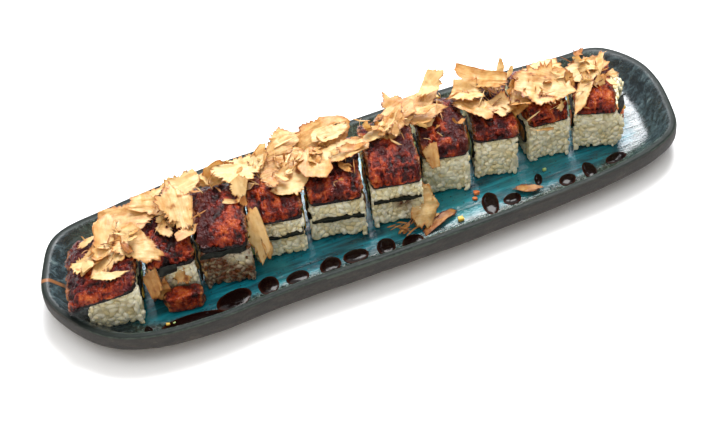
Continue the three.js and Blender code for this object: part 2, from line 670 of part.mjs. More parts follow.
function makeServing() {
  const serving = new THREE.Group();
  serving.add(makePlate());
  let neighbour = null;
  SLICES.forEach((slice, index) => {
    const number = index + 1;
    serving.add(makeSlice(slice, number));
    let heap = flakeHeap(FLAKES[index], slice, number, 0);
    if (neighbour) heap = heap.subtract(neighbour);
    for (let near = Math.max(1, number - 1); near <= Math.min(SLICES.length, number + 1); near += 1) {
      heap = heap.subtract(eelRoom(near));
    }
    neighbour = flakeHeap(FLAKES[index], slice, number, LAYER_GAP + 0.05);
    serving.add(makeMesh(`flakes_${twoDigits(number)}`, fromSolid(largestPiece(heap)), "flakes"));
  });
  const slipped = makeMesh("eel_slipped", makeSlippedEel(), "eel");
  const second = SLICES[1];
  const turn = rad(second.turn);
  const reach = SLIPPED_EEL.depth / 2 + 1.6;
  slipped.position.set(
    second.x + SLIPPED_EEL.across + Math.sin(turn) * reach,
    second.y - Math.cos(turn) * reach,
    FLOOR_HEIGHT + SEAT_GAP,
  );
  slipped.rotation.z = turn;
  serving.add(slipped);
  for (const strip of PLATE_FLAKES) serving.add(makeMesh(strip.name, makePlateFlake(strip), "flakes"));
  return serving;
}

export default makeServing();
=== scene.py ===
import itertools
import math

import bpy
import numpy as np
from mathutils import Matrix, Vector


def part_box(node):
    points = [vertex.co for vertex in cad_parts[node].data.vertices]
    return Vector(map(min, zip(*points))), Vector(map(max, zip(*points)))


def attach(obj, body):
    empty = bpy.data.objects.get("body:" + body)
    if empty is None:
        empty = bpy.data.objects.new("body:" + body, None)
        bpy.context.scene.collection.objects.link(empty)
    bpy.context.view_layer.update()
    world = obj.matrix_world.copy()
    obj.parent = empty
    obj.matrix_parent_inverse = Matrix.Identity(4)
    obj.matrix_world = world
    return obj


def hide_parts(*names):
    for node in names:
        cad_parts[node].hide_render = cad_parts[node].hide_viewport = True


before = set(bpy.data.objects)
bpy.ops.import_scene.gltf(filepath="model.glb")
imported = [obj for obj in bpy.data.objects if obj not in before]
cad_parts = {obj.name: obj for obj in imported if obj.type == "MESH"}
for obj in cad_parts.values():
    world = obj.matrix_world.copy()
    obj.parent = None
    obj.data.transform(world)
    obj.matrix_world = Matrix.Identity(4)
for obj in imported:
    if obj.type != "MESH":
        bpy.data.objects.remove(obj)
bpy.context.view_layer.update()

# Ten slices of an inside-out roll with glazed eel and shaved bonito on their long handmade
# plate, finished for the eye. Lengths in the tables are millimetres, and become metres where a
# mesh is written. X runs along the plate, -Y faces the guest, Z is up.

MM = 0.001

# The plate, as in the solid model

PLATE_LENGTH = 356
PLATE_WIDTH = 106
FLOOR_HEIGHT = 6.5
RIM_WAVE = 0.5
SPINE_REACH = 125
PLATE_CORNERS = [
    (179, 7), (176, -14), (168, -34), (149, -44), (120, -49), (60, -52), (0, -53), (-60, -51.5),
    (-105, -53), (-136, -49), (-153, -41), (-167, -25), (-178, 0), (-174, 20), (-163, 40), (-130, 47),
    (-80, 52), (0, 53), (80, 52), (135, 48), (162, 45), (176, 26),
]

# The wall's section from the foot over the rim to the floor: inset along the sides, inset
# at the ends, height, and the share of the rim's waves

PLATE_LEVELS = [
    (18, 34, 0, 0), (14.5, 27, 0.3, 0), (8, 14, 2.6, 0), (4, 7, 5.4, 0.3), (1.6, 2.4, 8.6, 0.6),
    (0.3, 0.4, 10.6, 1), (0, 0, 11.6, 1), (0, 0, 15, 1), (0.2, 0.2, 18.6, 1), (0.9, 0.9, 19.8, 1),
    (2.4, 2.4, 20.1, 1), (4.4, 4.6, 19.6, 1), (5.4, 5.9, 18.5, 0.9), (6.6, 7.4, 16.4, 0.8),
    (8.6, 10.5, 12.2, 0.4), (10.8, 13.5, 8.6, 0.1), (12.4, 16, 7.1, 0),
    (14.6, 19.5, FLOOR_HEIGHT, 0), (18, 24, FLOOR_HEIGHT, 0), (23, 31, FLOOR_HEIGHT, 0),
    (30, 40, FLOOR_HEIGHT, 0),
]

# The slices from left to right, as in the solid model

SEAT_GAP = 0.3
RICE_WALL = 7.2
EEL_EDGE = 2.4
EEL_BACK = 0.8
EEL_DROOP = 0.75


def cut(x, y, turn, width, depth, rice, eel, lean=0.0, rise=0.0, left=0.0, front=1.0, seam=0.0, ragged=0.0):
    """One slice: middle of its lower front edge, direction, and the sizes of its layers."""
    return dict(x=x, y=y, turn=math.radians(turn), width=width, depth=depth, rice=rice, eel=eel,
                lean=lean, rise=rise, left=left, front=front, seam=seam, ragged=ragged)


SLICES = [
    cut(-146, -25, -13, 27, 40, 24, 9, lean=0.22, left=9, front=3),
    cut(-114, -20, -11, 24.5, 34, 25, 8, lean=0.02, rise=0.06),
    cut(-86, -23, -12, 26, 41, 27, 11),
    cut(-56, -17, -13, 27, 41, 26.5, 10, seam=16),
    cut(-24, -18, -14, 29, 41, 27, 10.5, lean=0.02, seam=15.5),
    cut(8, -22, -12.5, 27, 41, 30, 11.5, rise=0.06, front=1.2, seam=18.5),
    cut(40, -13, -13.5, 25, 40, 27, 10.5, rise=0.03),
    cut(69, -13.5, -14, 23, 40, 27.5, 9, rise=0.03, front=0.8),
    cut(100.5, -14, -6, 23, 40, 26.5, 10.5),
    cut(125.5, -17.5, -21, 22, 36, 26.5, 9.5, lean=-0.02, front=2, ragged=10),
]

# The large flakes on each slice, placed from the middle of the eel's top: across and back
# along the plate, lift above the eel, length, width, direction in degrees, how it rises and
# curls along its length, and how it leans to its side

FLAKES = [
    [(4, 3, 1.6, 44, 18, 68, 6, -24, 4), (15, -4, 2.2, 25, 22, -16, -6, -44, 8),
     (-7, 1, 2.4, 25, 14, 20, 8, -14, -6), (15, 13, 4.6, 27, 18, -10, -6, -24, 14)],
    [(2, 16, 6, 27, 18, -8, -4, -20, 24), (14, 17, 6, 28, 15, 2, 4, -20, 16),
     (10, 5, 3.2, 29, 17, 84, 12, -36, -8)],
    [(17, 16, 5.4, 30, 21, -4, 0, -26, 20), (6, 18, 5, 22, 13, 14, 6, -20, 24)],
    [(8, 7, 3, 28, 19, 6, 0, -26, 6), (8, -7, 1.8, 24, 22, -12, -2, -20, 8),
     (12, 17, 7.6, 28, 18, 6, 4, -36, 28)],
    [(-8, -2, 4, 21, 19, 66, 6, -34, 6), (9, -2, 3, 31, 13, -12, 2, -24, 10),
     (1, 11, 7.4, 33, 24, 0, 4, -30, 26)],
    [(-4, 6, 2.4, 23, 13, -20, 2, -20, 6), (6, 7, 4, 22, 12, 40, 6, -24, 10),
     (12, 17, 8.2, 28, 22, 10, 10, -30, 12)],
    [(-8, 2, 3, 27, 15, -4, 0, -24, 6), (-6, 9, 6.6, 30, 18, 34, 20, -30, 12)],
    [(-9, -3, 3.6, 30, 19, -50, 2, -34, -6), (0, 10, 7.4, 29, 12, -42, -4, -12, 24),
     (-9, 7, 5, 23, 16, -30, -6, -26, 14), (8, 5, 11, 19, 4.5, 40, 52, -14, 0)],
    [(2, -7, 3.4, 31, 25, -32, -2, -26, 8), (5, 4, 5.4, 26, 17, -10, 2, -26, 16),
     (-12, -6, 2.2, 24, 14, 34, 8, -28, -8)],
    [(-10, -9, 2, 25, 8.5, 52, 10, -20, 8), (-3, 3, 3.4, 27, 13, -8, 2, -26, 10),
     (4, 2, 5, 23, 7, 48, 16, -20, -12)],
]

# Smaller flakes that stand out: across, back, height above the eel or, from 15 up, above
# the table, then length, width, direction, pitch, bend, tip and tone

ABOVE_TABLE = 15

TORN = [
    [(-13, 0, 1.2, 13, 9, 2, 2, -20, 6, -0.35), (-6, 14, 2.0, 12, 4, 17, 4, -20, 4, -0.2),
     (-2, -15, 1.6, 17, 5, -14, -6, -20, 6, -0.3), (17, -16, 27, 20, 9, -78, -66, -30, 20, 0.5)],
    [(1, 15, 3.0, 15, 8, 14, 4, -20, 10, -0.4), (0, 0, 2.0, 12, 7, -54, 2, -30, 8, 0.1),
     (-10, -18.5, 20, 9, 17, -14, 0, -20, 76, 0.7), (9, -9, 1.6, 13, 8, 20, -8, -20, 0, 0.35),
     (1.6, -18.6, 27, 15, 12, -12, 0, -20, 70, 0.15), (12.5, -15, 27, 27, 9, -98, -78, 10, 20, -0.2)],
    [(14, -17, 32, 34, 15, -100, -72, 26, 20, -0.25), (8, -2, 1.4, 12, 3, -12, 0, -14, 4, 0.1),
     (14, 3, 6, 13, 9, 60, 46, -20, 8, -0.2), (17.5, -20, 26, 18, 8, -84, -70, -24, -20, 0.15)],
    [(23, -5, 3.0, 15, 8, -23, 0, -20, 6, -0.1), (14, 17, 10.5, 17, 5, 1, 12, -30, 14, -0.3),
     (-2, 12, 6, 15, 9, 30, 24, -30, 14, 0.1)],
    [(5, -10, 1.6, 12, 7, -81, -4, -24, 8, 0.5), (4, 11, 9.5, 22, 9, -3, 4, -24, 14, -0.25),
     (13, -4, 4.6, 18, 5, -20, 6, -24, 8, 0.3)],
    [(5, 5, 7.0, 18, 1.6, 40, 12, -6, 0, 0.1), (-3, 7, 5.0, 18, 5, -29, 6, -24, 10, 0.4),
     (9, -23.5, 18, 17, 24, -10, 0, -20, 66, 0.0)],
    [(-13, -20, 39, 15, 8, -100, -64, 24, 10, 0.2), (-9, 2, 5.5, 20, 7, -10, 4, -20, 12, 0.0),
     (2, 14, 12, 18, 13, 20, 22, -20, 20, -0.35)],
    [(12, 11, 13, 11, 2.6, 54, 50, -12, 0, -0.3), (15, 5, 12, 9, 2.4, 17, 56, -14, 0, -0.2),
     (2, 11, 7.5, 20, 4, -52, 8, -20, 10, 0.5), (2, -9, 3.4, 21, 15, -37, 0, -30, 8, 0.05)],
    [(-8, -22, 34, 15, 5, -2, -10, -10, -18, 0.1), (9, -2, 4.6, 16, 8, -11, 6, -24, 12, 0.1),
     (-16, -11, 3.0, 17, 12, 15, -22, -14, -18, 0.4)],
    [(3, -3, 6.0, 17, 2.2, 44, 34, -12, 0, -0.35), (6, -11, 3.6, 11, 3, -72, 8, -40, 10, -0.4),
     (-2, 3, 6.0, 16, 6, -24, 10, -30, 14, 0.0)],
]

# The heaps: how many small flakes and shreds each has, the height that no flake passes, a
# flake's thickness and clearance over the eel, how much larger than its row it is cut, how far
# beside the eel its middle may lie, and the lowest eel that small ones lie on

SMALL_FLAKES = 15
SHREDS = 34
HIGHEST = 62.1
FLAKE_THICKNESS = 0.12
FLAKE_CLEARANCE = 0.6
FLAKE_GROWTH = 1.1
FLAKE_MARGIN = 10
LOWEST_EEL = 20

# The rice: grains tried on a slice, the share of them on its cuts, how close two may lie, how
# square the block's section is, and how far the block lies inside its grains

GRAINS_TRIED = 5200
SHARE_ON_CUTS = 0.56
GRAIN_SPACING = 1.95
BLOCK_SQUARENESS = 9
BLOCK_INSET = 1.25

# Sauce on the plate: middle, length, width and direction of each drop

SAUCE_HEIGHT = 0.95
SAUCE_EDGE = 0.12
SAUCE_UNDERSIDE = -0.4
SAUCE = [
    (-134, -34.5, 9, 4.4, 82), (-111, -37.5, 34, 10, -4), (-88, -33, 20, 12, 14), (-69, -31.5, 12, 10.5, 40),
    (-54, -33, 12.5, 9, 0), (-36, -33, 12, 10, 20), (-21, -32.5, 13.5, 9, -10), (-5, -33.5, 12, 9.6, 60),
    (9, -36, 12, 9.4, 10), (57, -30, 16, 9, 70), (69, -32, 10, 8, 10), (88, -25, 8.5, 4.4, 66),
    (102, -32, 10.5, 8.2, 20), (116, -31, 13, 7.6, 80), (133, -29, 12, 7, 4),
]


# Small tools

# Large numbers that scatter a noise cell's place over all values

SCATTER = (73856093, 19349663, 83492791, 2654435761, 1274126177, 2246822519)


def smooth_noise(points, size, seed):
    """Random values from -1 to 1 that change smoothly over about size millimetres."""
    cells = points / size + seed * 17.31
    base = np.floor(cells).astype(np.int64)
    part = cells - base
    part = part * part * (3 - 2 * part)
    total = np.zeros(len(points))
    for corner in itertools.product((0, 1), repeat=3):
        key = base + np.array(corner)
        code = key[:, 0] * SCATTER[0] ^ key[:, 1] * SCATTER[1] ^ key[:, 2] * SCATTER[2]
        code = code ^ (seed + 1) * SCATTER[3]
        code = (code ^ (code >> 13)) * SCATTER[4] & 0xFFFFFFFF
        code = (code ^ (code >> 16)) * SCATTER[5] & 0xFFFFFFFF
        value = ((code ^ (code >> 15)) & 0xFFFF) / 32767.5 - 1
        weight = np.prod(np.where(np.array(corner) == 1, part, 1 - part), axis=1)
        total += value * weight
    return total


def rotated(x, y, angle, start_x=0, start_y=0):
    """x and y turned by an angle in radians, counted from a starting point."""
    cosine, sine = math.cos(angle), math.sin(angle)
    return start_x + x * cosine - y * sine, start_y + x * sine + y * cosine


def round_off(block, squareness):
    """Factors that draw a cube's points in to a rounded cube, squarer as squareness grows."""
    full = (np.abs(block) ** squareness).sum(1) ** (1 / squareness)
    return (np.abs(block).max(1) / np.maximum(full, 1e-6))[:, None]


def deselect():
    bpy.ops.object.select_all(action="DESELECT")


def make_active(piece):
    deselect()
    piece.select_set(True)
    bpy.context.view_layer.objects.active = piece


def rows_of_three(items, name):
    """A vector that each vertex or face of a mesh has, one row each."""
    flat = np.empty(len(items) * 3)
    items.foreach_get(name, flat)
    return flat.reshape(-1, 3)


def vertices(piece):
    """The piece's vertices in millimetres."""
    return rows_of_three(piece.data.vertices, "co") / MM


def move_vertices(piece, points):
    piece.data.vertices.foreach_set("co", (points * MM).astype(np.float32).ravel())
    piece.data.update()


def normals(piece):
    return rows_of_three(piece.data.vertex_normals, "vector")


def write_values(piece, name, values):
    """Keeps one number a vertex on the mesh, for the material to read."""
    attribute = piece.data.attributes.get(name) or piece.data.attributes.new(name, "FLOAT", "POINT")
    attribute.data.foreach_set("value", np.asarray(values, np.float32))


def apply_modifier(piece, kind, **settings):
    make_active(piece)
    modifier = piece.modifiers.new(kind.title(), kind)
    for name, value in settings.items():
        setattr(modifier, name, value)
    bpy.ops.object.modifier_apply(modifier=modifier.name)


def new_object(name, data):
    thing = bpy.data.objects.new(name, data)
    bpy.context.scene.collection.objects.link(thing)
    return thing


def flat_grid(name, columns, rows):
    """A grid of quads and, for each vertex, its shares from 0 to 1 along the two sides."""
    deselect()
    bpy.ops.mesh.primitive_grid_add(x_subdivisions=columns, y_subdivisions=rows, size=2)
    piece = bpy.context.object
    piece.name = name
    shares = (vertices(piece)[:, :2] * MM + 1) / 2
    return piece, np.round(shares[:, 0] * columns) / columns, np.round(shares[:, 1] * rows) / rows


BLOCKS = {}


def subdivided_block(name, halvings):
    """A cube whose edges are halved again and again, and its vertices from -1 to 1 on each axis.

    Each fineness is modelled once and copied, each copy with its own mesh.
    """
    if halvings not in BLOCKS:
        deselect()
        bpy.ops.mesh.primitive_cube_add(size=2)
        first = bpy.context.object
        apply_modifier(first, "SUBSURF", subdivision_type="SIMPLE", levels=halvings, render_levels=halvings)
        BLOCKS[halvings] = first.data
        bpy.data.objects.remove(first)
    piece = new_object(name, BLOCKS[halvings].copy())
    return piece, vertices(piece) * MM


def weld(piece, distance=0.02):
    """Joins vertices that meet and turns the faces outwards."""
    make_active(piece)
    bpy.ops.object.mode_set(mode="EDIT")
    bpy.ops.mesh.select_all(action="SELECT")
    bpy.ops.mesh.remove_doubles(threshold=distance * MM)
    bpy.ops.mesh.normals_make_consistent(inside=False)
    bpy.ops.object.mode_set(mode="OBJECT")


def join(pieces, name):
    deselect()
    for piece in pieces:
        piece.select_set(True)
    bpy.context.view_layer.objects.active = pieces[0]
    if len(pieces) > 1:
        bpy.ops.object.join()
    joined = bpy.context.view_layer.objects.active
    joined.name = name
    return joined


def finish_piece(piece, material, slot, *nodes):
    """Gives a piece its material, smooth shading and its place in the model."""
    piece.data.materials.clear()
    piece.data.materials.append(material)
    piece.data.polygons.foreach_set("use_smooth", [True] * len(piece.data.polygons))
    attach(piece, "root")
    if nodes:
        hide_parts(*nodes)
    return piece


# Places on a slice


def slice_middle(slab):
    half = slab["depth"] / 2
    return slab["x"] - half * math.sin(slab["turn"]), slab["y"] + half * math.cos(slab["turn"])


def on_plate(slab, points):
    """Points from a slice's own frame, with its middle on the plate's floor, to the plate's."""
    x, y = rotated(points[:, 0], points[:, 1], slab["turn"], *slice_middle(slab))
    return np.column_stack([x, y, points[:, 2] + FLOOR_HEIGHT + SEAT_GAP])


def rice_top(slab, x, y):
    return slab["rice"] + slab["lean"] * x + slab["rise"] * y


def eel_span(slab):
    """Right edge, where the eel leaves the rice on the left, and its left edge."""
    right = slab["width"] / 2 + 0.5
    knee = -right - 1.2 if slab["left"] else -right
    return right, knee, -right - slab["left"]


def eel_reach(slab):
    """The eel's front and back edge."""
    return -slab["depth"] / 2 - slab["front"], slab["depth"] / 2 + EEL_BACK


def eel_seat(slab, x, y):
    """Height of the eel's underside."""
    knee = eel_span(slab)[1]
    return rice_top(slab, np.maximum(x, knee), y) + SEAT_GAP - EEL_DROOP * np.maximum(0, knee - x)


def eel_thickness(slab, x, y):
    right, _, left = eel_span(slab)
    front, back = eel_reach(slab)
    across = np.clip(np.abs((x - left) / (right - left) * 2 - 1), 0, 1)
    deep = np.clip(np.abs((y - front) / (back - front) * 2 - 1), 0, 1)
    crown = np.maximum(0, 1 - deep ** 3) ** 0.55
    return EEL_EDGE + (slab["eel"] - EEL_EDGE) * crown * (1 - 0.16 * across ** 3)


def top_under(points, margin=1.5):
    """Height of the eel's top under points of the plate, or 0 between the slices."""
    top = np.zeros(len(points))
    for slab in SLICES:
        x, y = slice_middle(slab)
        along, deep = rotated(points[:, 0] - x, points[:, 1] - y, -slab["turn"])
        right, _, left = eel_span(slab)
        front, back = eel_reach(slab)
        inside = (along > left - margin) & (along < right + margin)
        inside &= (deep > front - margin) & (deep < back + margin)
        along, deep = np.clip(along, left, right), np.clip(deep, front, back)
        height = FLOOR_HEIGHT + SEAT_GAP + eel_seat(slab, along, deep) + eel_thickness(slab, along, deep)
        top = np.where(inside, np.maximum(top, height), top)
    return top


# Materials


def linear(colour):
    """An sRGB hex colour as linear red, green, blue and alpha."""
    shares = [int(colour[place:place + 2], 16) / 255 for place in (1, 3, 5)]
    straight = [share / 12.92 if share <= 0.04045 else ((share + 0.055) / 1.055) ** 2.4 for share in shares]
    return straight + [1.0]


def per_mm(size):
    """A texture's scale for features of a size in millimetres, on coordinates in metres."""
    return 1 / (size * MM)


def feed(tree, node, inputs):
    """Gives each named input of a node its value, or the output that feeds it."""
    for name, value in inputs.items():
        if isinstance(value, bpy.types.NodeSocket):
            tree.links.new(value, node.inputs[name])
        else:
            node.inputs[name].default_value = value


def add_node(tree, kind, inputs=None, stops=(), **settings):
    """Adds a node with its settings, its inputs and, for a ramp, its stops."""
    node = tree.nodes.new(kind)
    for name, value in settings.items():
        setattr(node, name, value)
    feed(tree, node, inputs or {})
    for place, (position, colour) in enumerate(stops):
        elements = node.color_ramp.elements
        stop = elements[place] if place < 2 else elements.new(position)
        stop.position = position
        stop.color = linear(colour)
    return node


def new_material(name):
    material = bpy.data.materials.new(name)
    material.use_nodes = True
    material.node_tree.nodes.clear()
    tree = material.node_tree
    shader = add_node(tree, "ShaderNodeBsdfPrincipled")
    add_node(tree, "ShaderNodeOutputMaterial", {"Surface": shader.outputs[0]})
    place = add_node(tree, "ShaderNodeTexCoord").outputs["Object"]
    return material, tree, shader, place


def mixed(tree, factor, first, second):
    """The colour output that goes from first to second with factor."""
    return add_node(tree, "ShaderNodeMix", {0: factor, 6: first, 7: second}, data_type="RGBA").outputs[2]


def carried(tree, name, output="Fac"):
    """A value that the mesh carries for its material."""
    return add_node(tree, "ShaderNodeAttribute", attribute_name=name).outputs[output]


def noise(tree, place, scale, detail, roughness=0.5, distortion=0.0):
    """Cloudy values from 0 to 1."""
    inputs = {"Vector": place, "Scale": scale, "Detail": detail, "Roughness": roughness,
              "Distortion": distortion}
    return add_node(tree, "ShaderNodeTexNoise", inputs).outputs[0]


def stretched(tree, place, scale, turn=0.0):
    """Coordinates scaled along each axis, and turned about the upright one."""
    inputs = {"Vector": place, "Scale": scale, "Rotation": (0, 0, turn)}
    return add_node(tree, "ShaderNodeMapping", inputs).outputs[0]


def ranged(tree, value, low, high, bottom=0.0, top=1.0, **settings):
    """A value that goes from bottom to top while another goes from low to high."""
    inputs = {0: value, 1: low, 2: high, 3: bottom, 4: top}
    return add_node(tree, "ShaderNodeMapRange", inputs, **settings).outputs[0]


def reckoned(tree, operation, *values, **settings):
    """What a Math node makes of its values."""
    node = add_node(tree, "ShaderNodeMath", dict(enumerate(values)), operation=operation, **settings)
    return node.outputs[0]


def added(tree, value, share, base):
    """Base with a share of value added."""
    return reckoned(tree, "MULTIPLY_ADD", value, share, base)


def ramp(tree, value, *stops):
    """A colour that changes with a value. The first two stops are the lowest and the highest."""
    return add_node(tree, "ShaderNodeValToRGB", {0: value}, stops).outputs[0]


def bumped(tree, height, strength, distance):
    """A surface bent by a height, with its depth in metres."""
    inputs = {"Height": height, "Strength": strength, "Distance": distance}
    return add_node(tree, "ShaderNodeBump", inputs).outputs[0]


def glazed_stoneware():
    """Turquoise glaze brushed along the plate, dark and mossy near the wall, slate at the ends.

    Glossy and slightly wavy, so the studio light breaks up in it, but darker and duller where
    it thins over the rim. A tan smear lies at the left end. Inset is how far a spot lies from
    the outline, in millimetres.
    """
    material, tree, shader, place = new_material("turquoise_glaze_on_stoneware")
    inset = carried(tree, "inset")
    brush = noise(tree, stretched(tree, place, (0.10, 1.0, 1.0)), per_mm(4), 6.0, 0.7, 0.5)
    cloud = noise(tree, place, per_mm(30), 6.0, 0.6)
    grit = noise(tree, place, per_mm(2.2), 5.0, 0.85)
    teal = ramp(tree, brush, (0.30, "#02272f"), (0.74, "#49aab4"), (0.43, "#064a57"), (0.54, "#0a6e7e"),
                (0.64, "#168c9c"))
    teal = mixed(tree, ranged(tree, cloud, 0.50, 0.68, 0.0, 0.7), teal, linear("#1b8288"))
    along, across, _ = add_node(tree, "ShaderNodeSeparateXYZ", {0: place}).outputs
    frayed = added(tree, cloud, 0.060, reckoned(tree, "ABSOLUTE", along))
    ends = ranged(tree, frayed, 0.172, 0.192, interpolation_type="SMOOTHSTEP")
    slate = ramp(tree, brush, (0.3, "#0f1416"), (0.74, "#83938f"), (0.47, "#252f33"), (0.6, "#45555a"))
    moss = ramp(tree, grit, (0.34, "#0c1210"), (0.72, "#9aa8a0"), (0.48, "#22302c"), (0.60, "#4b5d55"))
    near_wall = ranged(tree, added(tree, grit, 7.0, inset), 24.5, 18.5, interpolation_type="SMOOTHSTEP")
    glaze = mixed(tree, near_wall, teal, moss)
    glaze = mixed(tree, ends, glaze, slate)
    specks = add_node(tree, "ShaderNodeTexVoronoi", {"Vector": place, "Scale": per_mm(2.6)})
    glaze = mixed(tree, ranged(tree, specks.outputs["Distance"], 0.20, 0.08), glaze, linear("#10222a"))
    pooled = ranged(tree, inset, 5.6, 3.2)
    glaze = mixed(tree, pooled, glaze, linear("#1a211e"))
    worn = ranged(tree, added(tree, grit, 2.0, inset), 2.1, 1.5)
    glaze = mixed(tree, worn, glaze, linear("#454d45"))
    beside = reckoned(tree, "ABSOLUTE", reckoned(tree, "SUBTRACT", across, 0.0105))
    at_end = ranged(tree, along, -0.164, -0.167)
    smear = reckoned(tree, "MULTIPLY", ranged(tree, beside, 0.0013, 0.0008), at_end)
    glaze = mixed(tree, smear, glaze, linear("#8a5a36"))
    feed(tree, shader, {
        "Base Color": glaze,
        "Roughness": added(tree, pooled, 0.35, ranged(tree, grit, 0.4, 0.7, 0.09, 0.28)),
        "Specular IOR Level": ranged(tree, pooled, 0.0, 1.0, 0.75, 0.15),
        "IOR": 1.55,
        "Normal": bumped(tree, added(tree, brush, 0.6, cloud), 0.55, 0.0014),
    })
    return material


def bare_stoneware():
    """Unglazed clay of the outer wall: brown-grey and gritty, greenish where glaze ran over."""
    material, tree, shader, place = new_material("unglazed_stoneware")
    marks = noise(tree, stretched(tree, place, (0.3, 0.3, 1.0)), per_mm(3.0), 6.0, 0.75)
    grit = noise(tree, place, per_mm(1.4), 4.0, 0.8)
    clay = ramp(tree, marks, (0.3, "#110f0d"), (0.72, "#4e4639"), (0.48, "#221e19"), (0.6, "#302a23"))
    clay = mixed(tree, ranged(tree, grit, 0.52, 0.66), clay, linear("#151210"))
    height = add_node(tree, "ShaderNodeSeparateXYZ", {0: place}).outputs[2]
    glazed = ranged(tree, added(tree, marks, 0.006, height), 0.0212, 0.0232)
    clay = mixed(tree, glazed, clay, linear("#272e28"))
    feed(tree, shader, {"Base Color": clay, "Roughness": 0.7, "Normal": bumped(tree, grit, 0.8, 0.0006)})
    return material


def sweet_soy_sauce():
    """Reduced sauce: almost black where deep, red-brown where its edge is thin, very glossy."""
    material, tree, shader, place = new_material("sweet_soy_sauce")
    height = add_node(tree, "ShaderNodeSeparateXYZ", {0: place}).outputs[2]
    depth = ranged(tree, height, (FLOOR_HEIGHT + 0.1) * MM, (FLOOR_HEIGHT + 0.6) * MM)
    feed(tree, shader, {
        "Base Color": mixed(tree, depth, linear("#3a170a"), linear("#110504")),
        "Roughness": 0.16, "Specular IOR Level": 0.16,
        "Normal": bumped(tree, noise(tree, place, per_mm(5), 1.0), 0.5, 0.0010),
    })
    return material


def cooked_rice():
    """Short-grain rice: translucent ivory grains, moist, stained where sauce ran down."""
    material, tree, shader, place = new_material("cooked_short_grain_rice")
    ivory = mixed(tree, carried(tree, "shade"), linear("#dccea0"), linear("#f6f0d6"))
    patchy = noise(tree, place, per_mm(3), 4.0)
    soaked = reckoned(tree, "MULTIPLY", patchy, 1.9)
    soaked = reckoned(tree, "MULTIPLY", soaked, carried(tree, "stain"), use_clamp=True)
    brown = mixed(tree, patchy, linear("#200a03"), linear("#7c4317"))
    feed(tree, shader, {
        "Base Color": mixed(tree, soaked, ivory, brown), "Roughness": 0.36,
        "Subsurface Weight": 0.4, "Subsurface Radius": (1.0, 0.85, 0.6), "Subsurface Scale": 0.0012,
        "Normal": bumped(tree, patchy, 0.2, 0.0003),
    })
    return material


def roasted_nori():
    """Roasted seaweed sheet: green-black, finely fibrous, faintly glossy where moist."""
    material, tree, shader, place = new_material("roasted_nori")
    fibre = noise(tree, place, per_mm(0.9), 5.0)
    feed(tree, shader, {
        "Base Color": ramp(tree, fibre, (0.35, "#060706"), (0.75, "#1d2318")),
        "Roughness": 0.5, "Specular IOR Level": 0.3, "Normal": bumped(tree, fibre, 0.7, 0.0004),
    })
    return material


def glazed_eel():
    """Grilled eel under a sweet glaze: red-brown and granular, orange crests, wine-dark runs.

    Crag is how high a spot stands: crests are coloured lighter and more orange and pits darker, partly
    as the glaze lies thinner and thicker there, partly as painted highlight and painted shade. Skin is how
    near the black skin is, glaze where the sauce ran, plum where the thicker glaze turned purple, crisp
    where torn fibres show, tone the slice's own.
    """
    material, tree, shader, place = new_material("grilled_eel_in_glaze")
    crag, skin, tone, plum, runs, crisp = (
        carried(tree, name) for name in ("crag", "skin", "tone", "plum", "glaze", "crisp"))
    streak = noise(tree, stretched(tree, place, (1.0, 0.35, 0.35), 0.22), per_mm(3.2), 6.0, 0.7, 0.6)
    fine = noise(tree, place, per_mm(2.6), 5.0, 0.65)
    grain = noise(tree, place, per_mm(1.6), 2.5, 0.6)
    # Crag lifts the colour on crests and lowers it in pits: partly thinner and pooled glaze, partly painted
    # highlight and painted shade
    level = added(tree, tone, 0.3, added(tree, fine, 0.8, added(tree, crag, 0.55, streak)))
    colour = ramp(tree, ranged(tree, level, 0.66, 1.56), (0.10, "#1a0302"), (0.96, "#cc8048"),
                  (0.30, "#450a04"), (0.46, "#701b08"), (0.60, "#943410"), (0.78, "#ab5220"))
    wine = mixed(tree, ranged(tree, fine, 0.38, 0.66), linear("#1c0408"), linear("#571a22"))
    colour = mixed(tree, plum, colour, wine)
    colour = mixed(tree, runs, colour, linear("#340405"))
    torn = reckoned(tree, "MULTIPLY", ranged(tree, fine, 0.42, 0.58), crisp)
    colour = mixed(tree, torn, colour, linear("#b27440"))
    dark = ranged(tree, added(tree, fine, 0.5, skin), 0.68, 0.92)
    hide = mixed(tree, fine, linear("#060505"), linear("#241b1c"))
    feed(tree, shader, {
        "Base Color": mixed(tree, dark, colour, hide),
        "Roughness": ranged(tree, fine, 0.35, 0.65, 0.10, 0.30), "Specular IOR Level": 0.24,
        "Subsurface Weight": 0.06, "Subsurface Radius": (1.0, 0.3, 0.12), "Subsurface Scale": 0.001,
        "Normal": bumped(tree, grain, 1.0, 0.0016),
    })
    return material


def shaved_bonito():
    """Dried bonito shaved paper thin: cream to gold, fine grain lines, browner at torn edges.

    Flat is the place in millimetres on the flake before it curled, edge is 1 at its rim, tone
    its own colour.
    """
    material, tree, shader, _ = new_material("shaved_dried_bonito")
    flat = carried(tree, "flat", "Vector")
    lines = noise(tree, stretched(tree, flat, (0.10, 1.0, 1.0)), 1.2, 6.0, 0.7)
    blotch = noise(tree, flat, 0.22, 5.0, 0.6)
    level = added(tree, carried(tree, "tone"), 0.5, added(tree, lines, 0.45, blotch))
    level = added(tree, carried(tree, "edge"), 0.55, level)
    feed(tree, shader, {
        "Base Color": ramp(tree, ranged(tree, level, 0.42, 1.62), (0.12, "#dfba84"), (0.95, "#4e1f08"),
                           (0.28, "#cea368"), (0.42, "#bd884a"), (0.56, "#a96f33"), (0.74, "#7e4317")),
        "Roughness": 0.38,
        "Subsurface Weight": 0.5, "Subsurface Radius": (1.0, 0.75, 0.45), "Subsurface Scale": 0.0006,
        "Normal": bumped(tree, added(tree, blotch, 0.6, lines), 0.7, 0.0005),
    })
    return material


